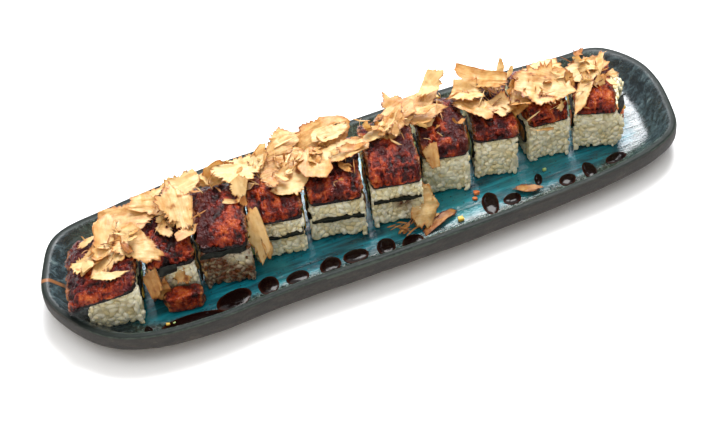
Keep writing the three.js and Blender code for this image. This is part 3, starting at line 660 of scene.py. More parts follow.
def plain_food(name, dark, light, size, roughness, glow):
    """A moist cut food of two close colours that change over size millimetres."""
    material, tree, shader, place = new_material(name)
    grain = noise(tree, place, per_mm(size), 5.0)
    feed(tree, shader, {
        "Base Color": ramp(tree, grain, (0.35, dark), (0.65, light)), "Roughness": roughness,
        "Subsurface Weight": glow, "Subsurface Radius": (1.0, 0.6, 0.3), "Subsurface Scale": 0.001,
        "Normal": bumped(tree, grain, 0.4, 0.0004),
    })
    return material


# The plate


def plate_outline(count):
    """The handmade outline: a smooth closed curve through its corners, in even steps."""
    corners = np.array(PLATE_CORNERS, float)
    run = []
    steps = np.linspace(0, 1, 40, endpoint=False)[:, None]
    for place in range(len(corners)):
        before, start, end, after = (corners[(place + shift) % len(corners)] for shift in (-1, 0, 1, 2))
        chords = (start - before, end - start, after - end)
        first, middle, last = (np.linalg.norm(chord) ** 0.5 for chord in chords)
        leave = chords[0] / first - (end - before) / (first + middle) + chords[1] / middle
        arrive = chords[1] / middle - (after - start) / (middle + last) + chords[2] / last
        leave, arrive = leave * middle, arrive * middle
        run.append(start + steps * leave + steps ** 2 * (3 * (end - start) - 2 * leave - arrive)
                   + steps ** 3 * (2 * (start - end) + leave + arrive))
    run = np.concatenate(run)
    closed = np.vstack([run, run[:1]])
    lengths = np.concatenate([[0], np.cumsum(np.linalg.norm(np.diff(closed, axis=0), axis=1))])
    even = np.linspace(0, lengths[-1], count, endpoint=False)
    outline = np.stack([np.interp(even, lengths, closed[:, axis]) for axis in (0, 1)], axis=1)
    middle = (outline.max(0) + outline.min(0)) / 2
    return (outline - middle) * (np.array([PLATE_LENGTH, PLATE_WIDTH]) / np.ptp(outline, axis=0))


def plate_point(outline, inset, end_inset, height, wave):
    spine = np.stack([np.clip(outline[:, 0], -SPINE_REACH, SPINE_REACH), np.zeros(len(outline))], axis=1)
    share = np.clip((np.abs(outline[:, 0]) - SPINE_REACH + 25) / (PLATE_LENGTH / 2 - SPINE_REACH + 25), 0, 1)
    share = share * share * (3 - 2 * share)
    inward = spine - outline
    inward *= ((inset + (end_inset - inset) * share) / np.linalg.norm(inward, axis=1))[:, None]
    angle = np.arctan2(outline[:, 1] * 3, outline[:, 0])
    lift = wave * RIM_WAVE * (np.sin(angle * 3 + 0.8) + 0.6 * np.sin(angle * 7))
    return np.column_stack([outline + inward, height + lift])


def close_opening(plate, lowest, highest):
    """Fills the open ring between two heights with a flat face."""
    make_active(plate)
    bpy.ops.object.mode_set(mode="EDIT")
    bpy.ops.mesh.select_mode(type="VERT")
    bpy.ops.mesh.select_all(action="DESELECT")
    bpy.ops.mesh.select_non_manifold()
    bpy.ops.object.mode_set(mode="OBJECT")
    for vertex in plate.data.vertices:
        vertex.select = vertex.select and lowest <= vertex.co.z / MM <= highest
    bpy.ops.object.mode_set(mode="EDIT")
    bpy.ops.mesh.edge_face_add()
    bpy.ops.object.mode_set(mode="OBJECT")


def make_plate(glaze, clay):
    """The section's levels round the outline, closed under the foot and over the floor."""
    around = 160
    levels = len(PLATE_LEVELS) - 1
    plate, u, v = flat_grid("plate_stoneware", around, levels)
    outline = plate_outline(around)
    rows = np.stack([plate_point(outline, *level) for level in PLATE_LEVELS])
    column = np.round(u * around).astype(int) % around
    level = np.round(v * levels).astype(int)
    move_vertices(plate, rows[level, column])
    write_values(plate, "inset", np.array([row[0] for row in PLATE_LEVELS])[level])
    weld(plate)
    close_opening(plate, -1, 1)
    close_opening(plate, FLOOR_HEIGHT - 1, FLOOR_HEIGHT + 1)
    weld(plate)
    apply_modifier(plate, "SUBSURF", levels=1, render_levels=1)
    points = vertices(plate)
    uneven = smooth_noise(points, 22, 5) * 0.22 + smooth_noise(points, 7, 6) * 0.08
    outside = points[:, 2] > 4
    points += normals(plate) * np.where(outside, uneven - 0.25, 0)[:, None]
    move_vertices(plate, points)
    finish_piece(plate, glaze, "glazed_plate", "plate")
    plate.data.materials.append(clay)
    centres = rows_of_three(plate.data.polygons, "center") / MM
    facing = rows_of_three(plate.data.polygons, "normal")
    spine = np.column_stack([np.clip(centres[:, 0], -SPINE_REACH, SPINE_REACH), np.zeros(len(centres))])
    away = (centres[:, :2] - spine) / (np.linalg.norm(centres[:, :2] - spine, axis=1)[:, None] + 1e-6)
    outward = (away * facing[:, :2]).sum(1) > 0.3
    bare = (outward & (centres[:, 2] < 19.0)) | (facing[:, 2] < -0.5)
    plate.data.polygons.foreach_set("material_index", bare.astype(np.int32))
    return plate


def make_sauce(material):
    """Drops and pools as low domes with a soft wandering edge."""
    drops = []
    for number, (x, y, length, width, turn) in enumerate(SAUCE):
        deselect()
        bpy.ops.mesh.primitive_uv_sphere_add(segments=56, ring_count=20, radius=1)
        drop = bpy.context.object
        points = vertices(drop) * MM
        angle = np.arctan2(points[:, 1], points[:, 0])
        ring = np.column_stack([np.cos(angle) * 2, np.sin(angle) * 2, np.full(len(angle), number * 9.0)])
        wander = 1 + 0.14 * smooth_noise(ring, 2.2, 40) + 0.03 * smooth_noise(ring, 0.9, 41)
        reach = np.clip(np.hypot(points[:, 0], points[:, 1]), 0, 1)
        dome = (1 - reach ** 2.6) ** 0.8
        points[:, 0] *= length / 2 * wander
        points[:, 1] *= width / 2 * wander
        x, y = rotated(points[:, 0], points[:, 1], math.radians(turn), x, y)
        dome = SAUCE_EDGE + dome * (SAUCE_HEIGHT - SAUCE_EDGE)
        z = FLOOR_HEIGHT + np.where(points[:, 2] >= 0, dome, SAUCE_UNDERSIDE)
        move_vertices(drop, np.column_stack([x, y, z]))
        drops.append(drop)
    return finish_piece(join(drops, "sauce_drops"), material, "glazed_plate")


# The rice


def section_reach(angle, half_depth, half_height, squareness):
    across = np.abs(np.cos(angle)) / half_depth
    up = np.abs(np.sin(angle)) / half_height
    return (across ** squareness + up ** squareness) ** (-1 / squareness)


def core_size(slab):
    """Half depth, half height and middle height of the nori tube's outside."""
    lowest = slab["rice"] - abs(slab["lean"]) * slab["width"] / 2 - slab["rise"] * slab["depth"] / 2
    return slab["depth"] / 2 - RICE_WALL, lowest / 2 - RICE_WALL, lowest / 2


def slumped(slab, x, y, share):
    """How far the crumbled end of the last slice has slid out."""
    hump = np.sin(np.pi * np.clip(share, 0, 1)) * (0.75 + 0.5 * y / slab["depth"])
    return slab["ragged"] * np.maximum(0, 2 * x / slab["width"]) * hump


def lump_depth(points, number):
    """How far the pressed rice falls back between its lumps, in millimetres."""
    depth = 2.6 if number == 1 else 1.0
    return depth * np.clip(0.35 - 0.8 * smooth_noise(points, 8, 640 + number), 0, 1)


def make_rice_core(slab, number):
    """The pressed block under the grains, with the tunnel that the nori lines."""
    around, bands = 96, 40
    block, u, v = flat_grid(f"rice_block_{number:02d}", around, bands)
    angle = u * 2 * np.pi
    half = slab["width"] / 2 - BLOCK_INSET
    core_depth, core_height, core_middle = core_size(slab)
    outer = section_reach(angle, slab["depth"] / 2 - BLOCK_INSET, slab["rice"] / 2 - 1.0, BLOCK_SQUARENESS)
    inner = section_reach(angle, core_depth, core_height, 7)
    leg = v * 4
    x = np.select([leg <= 1, leg <= 2, leg <= 3],
                  [half * (2 * leg - 1), half + 0 * leg, half * (5 - 2 * leg)], -half + 0 * leg)
    inward = np.select([leg <= 1, leg <= 2, leg <= 3], [0 * leg, leg - 1, 1 + 0 * leg], 4 - leg)
    outer_y, outer_z = np.cos(angle) * outer, slab["rice"] / 2 + np.sin(angle) * outer
    share = np.clip(outer_z / slab["rice"], 0, 1)
    outer_z = share * rice_top(slab, x, outer_y)
    inner_y, inner_z = np.cos(angle) * inner, core_middle + np.sin(angle) * inner
    y = outer_y * (1 - inward) + inner_y * inward
    z = outer_z * (1 - inward) + inner_z * inward
    x = x + slumped(slab, x, y, z / slab["rice"]) * 0.8
    move_vertices(block, np.column_stack([x, y, z]))
    weld(block)
    points = vertices(block)
    lumps = 0.4 * smooth_noise(points, 3.2, number) + 0.2 * smooth_noise(points, 1.6, number + 50)
    points += normals(block) * (lumps - lump_depth(points, number))[:, None]
    points[:, 2] = np.clip(points[:, 2], 0.15, rice_top(slab, points[:, 0], points[:, 1]) - 0.1)
    move_vertices(block, on_plate(slab, points))
    return block


def grain_shapes():
    """Three cooked grains of short-grain rice, each a few dozen faces."""
    shapes = []
    for length, width, bend in ((5.8, 3.1, 0.25), (5.2, 3.3, -0.2), (6.4, 2.9, 0.45)):
        deselect()
        bpy.ops.mesh.primitive_ico_sphere_add(subdivisions=2, radius=1)
        grain = bpy.context.object
        points = vertices(grain) * MM
        points[:, 0] *= length / 2
        taper = 1 - 0.10 * points[:, 0] / length
        points[:, 1] = points[:, 1] * width / 2 * taper + bend * (points[:, 0] / length * 2) ** 2
        points[:, 2] *= width / 2 * 0.8 * taper
        points += 0.12 * smooth_noise(points, 1.3, int(length * 10))[:, None]
        faces = np.array([list(face.vertices) for face in grain.data.polygons])
        shapes.append((points, faces))
        bpy.data.objects.remove(grain)
    return shapes


def mesh_from_arrays(name, points, faces):
    """One piece from arrays of vertices in millimetres and of faces with equal numbers of corners."""
    corners = faces.shape[1]
    mesh = bpy.data.meshes.new(name)
    mesh.vertices.add(len(points))
    mesh.vertices.foreach_set("co", (points * MM).astype(np.float32).ravel())
    mesh.loops.add(len(faces) * corners)
    mesh.loops.foreach_set("vertex_index", faces.astype(np.int32).ravel())
    mesh.polygons.add(len(faces))
    mesh.polygons.foreach_set("loop_start", np.arange(0, len(faces) * corners, corners, dtype=np.int32))
    mesh.update(calc_edges=True)
    return new_object(name, mesh)


def grain_spots(slab, random):
    """Spots over the block's sides and both cuts, set apart, with their outward direction."""
    half = slab["width"] / 2
    candidates = GRAINS_TRIED
    angle = random.uniform(0, 2 * np.pi, candidates)
    wall = section_reach(angle, slab["depth"] / 2, slab["rice"] / 2, BLOCK_SQUARENESS)
    y, z = np.cos(angle) * wall, slab["rice"] / 2 + np.sin(angle) * wall
    x = random.uniform(-half, half, candidates)
    outward = np.column_stack([np.zeros(candidates), np.cos(angle) ** 7, np.sin(angle) ** 7])
    core_depth, core_height, core_middle = core_size(slab)
    ends = candidates * SHARE_ON_CUTS > np.arange(candidates)
    side = np.where(random.random(candidates) < 0.5, -1.0, 1.0)
    x = np.where(ends, side * half, x)
    y = np.where(ends, random.uniform(-1, 1, candidates) * slab["depth"] / 2, y)
    z = np.where(ends, random.uniform(0, 1, candidates) * slab["rice"], z)
    hollow = np.maximum(np.abs(y) / (core_depth + 0.8), np.abs(z - core_middle) / (core_height + 0.8)) < 1
    sideways = np.column_stack([side, np.zeros(candidates), np.zeros(candidates)])
    outward = np.where(ends[:, None], sideways, outward)
    share = z / slab["rice"]
    shows = ~(ends & hollow) & (ends | ((share < 0.965) & (share > 0.02))) & (z < slab["rice"] - 0.8)
    order = random.permutation(np.flatnonzero(shows))
    z = share * rice_top(slab, x, y)
    x = x + slumped(slab, x, y, share)
    spots = np.column_stack([x, y, z])
    kept = []
    for candidate in order:
        if not kept or np.min(((spots[kept] - spots[candidate]) ** 2).sum(1)) > GRAIN_SPACING ** 2:
            kept.append(candidate)
    return spots[kept], outward[kept]


def pressed(slab, points):
    """Grains flattened where they pass the block's faces, as the knife and the mat leave them."""
    points = points.copy()
    half = slab["width"] / 2
    slid = slumped(slab, half, points[:, 1], points[:, 2] / slab["rice"])
    faces = ((0, 1, half + slid), (0, -1, half), (1, 1, slab["depth"] / 2), (1, -1, slab["depth"] / 2))
    for axis, side, face in faces:
        past = np.maximum(points[:, axis] * side - face, 0)
        points[:, axis] -= side * (past - 0.4 * np.tanh(past / 0.8))
    top = rice_top(slab, points[:, 0], points[:, 1])
    points[:, 2] = np.clip(points[:, 2], 0.1, top + 0.1)
    return points


def make_grains(slab, number, shapes, stain):
    random = np.random.default_rng(900 + number)
    spots, outward = grain_spots(slab, random)
    count = len(spots)
    outward /= np.linalg.norm(outward, axis=1)[:, None] + 1e-9
    any_way = random.normal(size=(count, 3))
    along = any_way - (any_way * outward).sum(1)[:, None] * outward
    along /= np.linalg.norm(along, axis=1)[:, None]
    along += outward * random.normal(0, 0.22, count)[:, None]
    along /= np.linalg.norm(along, axis=1)[:, None]
    beside = np.cross(outward, along)
    beside /= np.linalg.norm(beside, axis=1)[:, None]
    above = np.cross(along, beside)
    scale = random.uniform(0.82, 1.1, count)
    sunk = random.uniform(0.9, 1.8, count) + lump_depth(spots, number)
    centre = spots - outward * sunk[:, None]
    all_points, all_faces, shade, used = [], [], [], 0
    kinds = random.integers(0, len(shapes), count)
    for kind, (shape, faces) in enumerate(shapes):
        chosen = np.flatnonzero(kinds == kind)
        frame_of = np.stack([along[chosen], beside[chosen], above[chosen]], axis=1)
        placed = np.einsum("vk,nkc->nvc", shape, frame_of) * scale[chosen, None, None]
        placed += centre[chosen, None, :]
        all_points.append(placed.reshape(-1, 3))
        starts = used + np.arange(len(chosen)) * len(shape)
        all_faces.append((faces[None, :, :] + starts[:, None, None]).reshape(-1, 3))
        shade.append(np.repeat(random.random(len(chosen)), len(shape)))
        used += len(chosen) * len(shape)
    points = pressed(slab, np.concatenate(all_points))
    grains = mesh_from_arrays(f"rice_grains_{number:02d}", on_plate(slab, points), np.concatenate(all_faces))
    write_values(grains, "shade", np.concatenate(shade))
    write_values(grains, "stain", stain(points))
    return grains


def rice_stain(slab, number):
    """How far sauce has soaked the rice: under the eel everywhere, and down some fronts."""
    def stain(points):
        top = rice_top(slab, points[:, 0], points[:, 1])
        under_eel = np.clip(1 - (top - points[:, 2]) / 2.4, 0, 1) * 0.5
        front = np.clip((-points[:, 1] - slab["depth"] / 2 + 6) / 3, 0, 1)
        across = points[:, 0] / slab["width"] * 2
        share = points[:, 2] / top
        cloud = 0.25 * smooth_noise(points, 6, 800 + number)
        lump = np.clip(1.3 - np.hypot(across - 0.55, (share - 0.66) * 2) * 1.8, 0, 1)
        patches = {
            3: 1.1 - 1.1 * lump + cloud * 1.4,
            2: np.clip(0.9 - np.abs(share - 0.2) * 2 - across * 0.5, 0, 1),
            6: np.clip(0.55 - np.hypot(across - 0.25, (share - 0.55) * 2.2), 0, 1) * 2.4,
        }
        return np.clip(under_eel + front * patches.get(number, np.maximum(cloud - 0.1, 0)), 0, 1)
    return stain


def make_rice(material, shapes):
    for number, slab in enumerate(SLICES, 1):
        stain = rice_stain(slab, number)
        block = make_rice_core(slab, number)
        write_values(block, "shade", np.full(len(block.data.vertices), 0.35))
        write_values(block, "stain", np.full(len(block.data.vertices), 1.0 if number == 3 else 0.12))
        finish_piece(block, material, "rice", f"rice_{number:02d}")
        finish_piece(make_grains(slab, number, shapes, stain), material, "rice", f"rice_{number:02d}")


# Nori and what it holds

# Loose scraps of nori and dark skin on a slice: a corner and its two sides, in the slice's frame

NORI_SCRAPS = {
    2: [((-6, -18.4, 21), (9, 0.5, 1), (0.3, 1.2, 4.5))],
    3: [((-13.7, -20.8, 9), (0, 22, 0), (-0.3, 1.5, 27)), ((-12.5, -21, 23), (23, 0.2, 1.2), (0, -0.4, 3.4))],
    10: [((12, -17, 22), (3.0, 3, 1), (1.0, 1, 12))],
}


def make_nori(slab, number, material):
    """The sheet round the filling, a little frayed at both cuts, with its tail to the front."""
    around, along = 72, 24
    sheet, u, v = flat_grid(f"nori_sheet_{number:02d}", along, around)
    core_depth, core_height, middle = core_size(slab)
    half = slab["width"] / 2
    angle = v * 2 * np.pi - np.pi
    wave = np.column_stack([u * slab["width"], np.cos(angle) * 14, np.sin(angle) * 8])
    reach = section_reach(angle, core_depth - 0.7, core_height - 0.7, 6)
    reach = reach + 0.25 * smooth_noise(wave, 5, number)
    fray = 0.35 * smooth_noise(wave, 2.4, number + 20)
    x = (u * 2 - 1) * (half + 0.25 + fray) + slab["ragged"] * 0.5 * np.clip(u * 2 - 1, 0, 1)
    points = np.column_stack([x, np.cos(angle) * reach, middle + np.sin(angle) * reach])
    move_vertices(sheet, points)
    weld(sheet)
    apply_modifier(sheet, "SOLIDIFY", thickness=0.8 * MM, offset=0)
    pieces = [sheet]
    if slab["seam"]:
        tail, block = subdivided_block("nori_tail", 5)
        front, back = -slab["depth"] / 2 - 1.1, -core_depth + 1
        slope = (middle + 1 - slab["seam"]) / (back + slab["depth"] / 2)
        share = (block[:, 1] + 1) / 2
        spot = np.column_stack([block[:, 0] * half, share * 6, np.full(len(share), number * 11.0)])
        y = front + (back - front) * share + 0.5 * smooth_noise(spot, 1.8, 3) * (1 - share)
        swell = 0.75 + 0.7 * smooth_noise(spot, 2.6, 9) + 0.35 * smooth_noise(spot, 1.1, 10)
        z = slab["seam"] + slope * (y + slab["depth"] / 2) + 1.1 * smooth_noise(spot, 5, 8)
        z += block[:, 2] * np.clip(swell, 0.12, 1.3)
        move_vertices(tail, np.column_stack([block[:, 0] * (half - 0.8), y, z]))
        pieces.append(tail)
    for corner, along_side, up_side in NORI_SCRAPS.get(number, ()):
        scrap, u, v = flat_grid("nori_scrap", 22, 22)
        flat = np.array(corner) + u[:, None] * np.array(along_side) + v[:, None] * np.array(up_side)
        facing = np.cross(along_side, up_side)
        facing = facing / np.linalg.norm(facing)
        flat += facing * (1.1 * smooth_noise(flat, 5, 31) + 0.7 * smooth_noise(flat, 2.2, 32))[:, None]
        rim = np.maximum(np.abs(u * 2 - 1), np.abs(v * 2 - 1)) ** 4
        flat += (1.3 * smooth_noise(flat, 3, 33) * rim)[:, None] * (np.array(along_side) + up_side) / 20
        move_vertices(scrap, flat)
        apply_modifier(scrap, "SOLIDIFY", thickness=0.6 * MM, offset=0)
        pieces.append(scrap)
    joined = join(pieces, f"nori_sheet_{number:02d}")
    move_vertices(joined, on_plate(slab, vertices(joined)))
    return finish_piece(joined, material, "nori", f"nori_{number:02d}")


def make_filling(slab, number, materials):
    """Four sticks that fill the nori: cucumber, carrot, omelette and a browned one, cut unevenly."""
    random = np.random.default_rng(70 + number)
    core_depth, core_height, middle = core_size(slab)
    room_depth, room_height = 2 * (core_depth - 1.5), 2 * (core_height - 1.4)
    widths = random.uniform(0.8, 1.2, 4)
    widths *= room_depth / widths.sum()
    kinds = random.permutation(["cucumber", "carrot", "omelette", "gourd"])
    front = -room_depth / 2
    for kind, width in zip(kinds, widths):
        stick, points = subdivided_block(f"filling_{kind}_{number:02d}", 4)
        rounded = points / np.maximum(np.linalg.norm(points[:, 1:], axis=1), 1)[:, None]
        points[:, 1:] = points[:, 1:] * 0.55 + rounded[:, 1:] * 0.45
        ends = slab["width"] + 1.1 + random.uniform(-0.5, 0.9)
        placed = points * np.array([ends / 2, width / 2 - 0.1, room_height / 2])
        placed[:, 0] += slab["ragged"] * 0.5 * np.clip(points[:, 0], 0, 1)
        placed += np.array([random.uniform(-0.2, 0.2), front + width / 2, middle])
        placed[:, 1:] += 0.22 * smooth_noise(placed, 4, number)[:, None]
        placed[:, 0] += 0.4 * smooth_noise(placed, 2.2, number + 9)
        move_vertices(stick, on_plate(slab, placed))
        finish_piece(stick, materials[kind], "filling", f"filling_{number:02d}")
        front += width


# The eel


# The look of each slice's eel: how light it is, how purple, how much glaze ran down its
# front, and how thick its dark skin shows, in millimetres

EEL_LOOKS = [
    (0.55, 0.75, 0.05, 3.4), (0.50, 0.35, 0.25, 4.4), (0.55, 0.20, 0.70, 4.6), (0.60, 0.30, 0.55, 3.4),
    (0.65, 0.25, 0.65, 2.6), (0.55, 0.45, 0.65, 2.0), (0.65, 0.55, 0.65, 1.4), (0.45, 0.80, 0.30, 1.4),
    (0.70, 0.50, 0.45, 1.0), (0.75, 0.40, 0.25, 1.0),
]


def eel_values(eel, plain, relief, look, thickness, high, across, deep, number):
    """Writes what the eel's material reads, from each spot's place on the slab before its relief."""
    tone, plum, runs, skin = look
    # Crag colours crests lighter and pits darker in the material: partly thinner and pooled glaze, partly
    # painted highlight and painted shade
    write_values(eel, "crag", np.clip(relief, -1.2, 1.2) * 0.5)
    thick_skin = skin * (1.15 - 0.5 * across) * (1 + 0.5 * smooth_noise(plain, 5, 460 + number))
    write_values(eel, "skin", np.clip(1.1 - thickness * high / np.maximum(thick_skin, 0.3), 0, 1))
    write_values(eel, "tone", tone + 0.35 * smooth_noise(plain, 9, 480 + number))
    back = 0.7 * deep + 0.6 * smooth_noise(plain, 6, 500 + number) + plum - 0.75
    write_values(eel, "plum", np.clip(back * 1.8, 0, 0.75))
    wander = plain[:, 0] + 1.5 * smooth_noise(plain, 7, 510)
    down = np.column_stack([wander, plain[:, 1] * 0.2, plain[:, 2] * 0.1])
    run = smooth_noise(down, 4.5, 520 + number) + 0.45 * smooth_noise(plain, 3, 540 + number)
    write_values(eel, "glaze", np.clip((run + runs - 0.8) * 2.6, 0, 0.85))
    edge = np.maximum(np.abs(across * 2 - 1) - 0.86, 0) / 0.14
    ragged = np.clip(edge + 0.6 * smooth_noise(plain, 3, 560 + number) - 0.1, 0, 1)
    write_values(eel, "crisp", ragged * (edge > 0) * 0.8)


def make_eel(slab, number, material):
    """A slab of grilled eel: upright at the cuts, rounded to the front, cracked and fibrous above."""
    eel, block = subdivided_block(f"eel_slab_{number:02d}", 6)
    right, knee, left = eel_span(slab)
    front, back = eel_reach(slab)
    across, deep = ((block[:, :2] * round_off(block[:, :2], 9) + 1) / 2).T
    high = (block[:, 2] + 1) / 2
    x = left + (right - left) * across
    y = front + (back - front) * deep
    thickness = eel_thickness(slab, x, y)
    plain = np.column_stack([x, y, eel_seat(slab, x, y) + thickness * high])
    move_vertices(eel, plain)
    drawn = plain * (np.array([0.35, 1.0, 1.0]) if number == 1 else np.array([1.0, 0.6, 0.8]))
    crag = smooth_noise(drawn, 7, 300 + number)
    ridge = 0.6 - np.abs(smooth_noise(drawn, 3.4, 340 + number)) * 2.2
    crumb = 0.5 - np.abs(smooth_noise(plain, 1.9, 360 + number)) * 1.8
    pit = np.minimum(0, smooth_noise(plain, 2.6, 380 + number) + 0.2)
    relief = crag * 0.6 + ridge * 0.55 + pit * 1.5 + crumb * 0.5
    upper = np.clip((high - 0.15) / 0.3, 0, 1)
    cut_face = np.clip(1 - (1 - np.abs(block[:, 0])) * 9, 0, 1)
    depth = np.where(high > 0.02, relief * (0.3 + 0.7 * upper) * (1 - 0.55 * cut_face), 0)
    depth = np.clip(depth, -2.0, 1.0) - 0.35 * upper
    points = plain + normals(eel) * depth[:, None]
    fray = 1.1 * smooth_noise(plain, 5, 400 + number) + 0.5 * smooth_noise(plain, 1.8, 420 + number)
    points[:, 0] += np.sign(block[:, 0]) * (fray - 0.35) * np.abs(block[:, 0]) ** 6
    hem = 1.1 * smooth_noise(plain, 7, 430 + number) + 0.4 * smooth_noise(plain, 2.2, 440 + number)
    at_front = np.maximum(0, -block[:, 1]) ** 6
    points[:, 1] -= (hem - 0.5) * at_front
    points[:, 2] += (hem + 0.1) * at_front * (1 - high)
    move_vertices(eel, on_plate(slab, points))
    eel_values(eel, plain, relief, EEL_LOOKS[number - 1], thickness, high, across, deep, number)
    return finish_piece(eel, material, "eel", f"eel_{number:02d}")


def make_slipped_eel(material):
    """The piece that slid off the second slice, on its side at the foot."""
    low, high_corner = (np.array(corner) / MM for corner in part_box("eel_slipped"))
    eel, block = subdivided_block("eel_slab_slipped", 5)
    size = np.array([20, 8.5, 11.5])
    points = block * round_off(block, 10) * size / 2
    move_vertices(eel, points)
    plain = points.copy()
    relief = 0.9 * smooth_noise(plain, 4.5, 701) + 0.5 * smooth_noise(plain, 2.2, 702)
    points += normals(eel) * (relief * 0.8 - 0.3)[:, None]
    points[:, 0] += 2.6 * smooth_noise(plain, 6, 703) * np.abs(block[:, 0])
    points[:, 2] += 1.6 * smooth_noise(plain, 8, 704) * (block[:, 2] > 0)
    points[:, 2] = np.clip(points[:, 2] + size[2] / 2, 0, size[2])
    middle = (low + high_corner) / 2
    x, y = rotated(points[:, 0], points[:, 1], SLICES[1]["turn"], *middle[:2])
    move_vertices(eel, np.column_stack([x, y, low[2] + points[:, 2]]))
    shares = (block + 1) / 2
    eel_values(eel, plain, relief, (0.35, 0.1, 0.45, 1.6), np.full(len(block), size[2]), shares[:, 2],
               shares[:, 0], np.zeros(len(block)), 11)
    return finish_piece(eel, material, "eel", "eel_slipped")


# The bonito


def torn_rim(angle, random):
    """Distance from a flake's middle to its rim: straight tears between a few corners."""
    corners = random.integers(4, 8)
    at = (np.arange(corners) + random.uniform(-0.36, 0.36, corners)) * 2 * np.pi / corners
    far = random.uniform(0.72, 1.16, corners)
    x, y = np.cos(at) * far, np.sin(at) * far
    turned = (angle - at[0]) % (2 * np.pi)
    place = np.searchsorted(at - at[0], turned, side="right") - 1
    after = (place + 1) % corners
    cross = x[place] * y[after] - y[place] * x[after]
    return cross / (np.cos(angle) * (y[after] - y[place]) - np.sin(angle) * (x[after] - x[place]))


def flake_piece(random, long, wide, ragged=0.10, cells=(46, 32), holes=0.0):
    """One flat flake: its points, how near each is to a rim or hole, and its faces without the holes."""
    columns, rows = cells
    sides = np.meshgrid(np.linspace(-1, 1, columns + 1), np.linspace(-1, 1, rows + 1))
    u, v = (side.ravel() for side in sides)
    first = (np.arange(rows)[:, None] * (columns + 1) + np.arange(columns)).ravel()
    faces = np.column_stack([first, first + 1, first + columns + 2, first + columns + 1])
    x, y = u * np.sqrt(1 - v * v / 2), v * np.sqrt(1 - u * u / 2)
    angle, radius = np.arctan2(y, x), np.hypot(x, y)
    ring = np.column_stack([np.cos(angle) * 3, np.sin(angle) * 3, np.full(len(angle), random.uniform(0, 90))])
    fringed = np.clip(smooth_noise(ring, 2.4, 14) * 2 + 0.4, 0.15, 1)
    teeth = 0.7 * smooth_noise(ring, 0.4, 12) + 1.1 * smooth_noise(ring, 0.15, 13)
    tear = smooth_noise(ring, 0.9, 11) * 0.3 + teeth * fringed
    reach = torn_rim(angle, random) + ragged * tear * radius ** 3
    flat = np.column_stack([x * reach * long / 2, y * reach * wide / 2, np.zeros(len(x))])
    edge = np.clip((radius - 0.88) / 0.12, 0, 1) * (0.3 + 0.7 * fringed)
    if holes:
        spot = flat + np.array([0, 0, random.uniform(0, 300)])
        hole = (smooth_noise(spot, 4.2, 15) + 0.25 * smooth_noise(spot, 1.5, 16)) * (radius < 0.86)
        edge = np.maximum(edge, np.clip((hole - 1 + holes) * 4 + 1, 0, 1))
        faces = faces[(hole[faces] < 1 - holes).any(1)]
    return flat, edge, faces


def curl_flake(flat, random, bend, wrinkle):
    """The flake's flat points lifted into its curl, creases, ripples and turned-up sides."""
    long, wide = np.ptp(flat[:, 0]), np.ptp(flat[:, 1])
    phase = random.uniform(0, 50)
    drawn = np.column_stack([flat[:, 0] * 0.22, flat[:, 1], np.full(len(flat), phase)])
    broad = np.column_stack([flat[:, 0], flat[:, 1], np.full(len(flat), phase)])
    rise = wrinkle * (0.55 * smooth_noise(drawn, 3.2, 21) + 0.4 * smooth_noise(drawn, 1.3, 22))
    rise += wrinkle * (0.5 - np.abs(smooth_noise(broad, 4, 24))) * 0.8
    rise += wrinkle * 1.2 * smooth_noise(broad, 11, 23)
    for _ in range(2):
        way = random.uniform(0, np.pi)
        line = flat[:, 0] * math.cos(way) + flat[:, 1] * math.sin(way) - random.uniform(-0.3, 0.3) * wide
        rise += random.uniform(-0.3, 0.3) * np.abs(line)
    side = flat[:, 1] / (wide / 2 + 0.01)
    for half, lift in ((1, random.uniform(-1.6, 2.6)), (-1, random.uniform(-1.6, 2.6))):
        rise += lift * np.clip(side * half - 0.4, 0, 1) ** 2 * min(wide, 14) / 6
    across = random.uniform(0, np.pi)
    fold = flat[:, 0] * math.cos(across) + flat[:, 1] * math.sin(across) - random.uniform(-0.25, 0.25) * wide
    rise += random.uniform(-0.25, 0.3) * np.maximum(fold, 0)
    turn = math.radians(bend) * flat[:, 0] / long / 2
    return flat[:, 0] * np.cos(turn), flat[:, 1], flat[:, 0] * np.sin(turn) + rise


def lay_flake(shape, random, x, y, z, turn, pitch, tip, bend, tone, rest=True, wrinkle=0.75):
    """Curls a flake, tilts and turns it, sets its middle at x, y, z and keeps it off the eel."""
    flat, edge, faces = shape
    along, beside, up = curl_flake(flat, random, bend, wrinkle)
    beside, up = rotated(beside, up, math.radians(tip))
    along, up = rotated(along, up, math.radians(pitch))
    along, beside = rotated(along, beside, math.radians(turn), x, y)
    points = np.column_stack([along, beside, z + up])
    if rest:
        points[:, 2] = np.maximum(points[:, 2], top_under(points) + FLAKE_CLEARANCE)
    points[:, 2] = np.minimum(points[:, 2], HIGHEST)
    return points, flat + random.uniform(0, 400, 3), edge, np.full(len(flat), tone), faces


def thickened(points, faces, thickness):
    """A closed shell from an open sheet of quads: both sides, and a strip round every rim."""
    first, second, third, fourth = (points[faces[:, corner]] for corner in range(4))
    facing = np.cross(third - first, fourth - second)
    normal = np.zeros_like(points)
    for corner in range(4):
        np.add.at(normal, faces[:, corner], facing)
    normal /= np.linalg.norm(normal, axis=1)[:, None] + 1e-9
    count = len(points)
    edges = np.concatenate([faces[:, [corner, (corner + 1) % 4]] for corner in range(4)])
    rim = edges[~np.isin(edges[:, 0] * count + edges[:, 1], edges[:, 1] * count + edges[:, 0])]
    strip = np.column_stack([rim[:, 1], rim[:, 0], rim[:, 0] + count, rim[:, 1] + count])
    shell = np.concatenate([points + normal * thickness / 2, points - normal * thickness / 2])
    return shell, np.concatenate([faces, faces[:, ::-1] + count, strip])


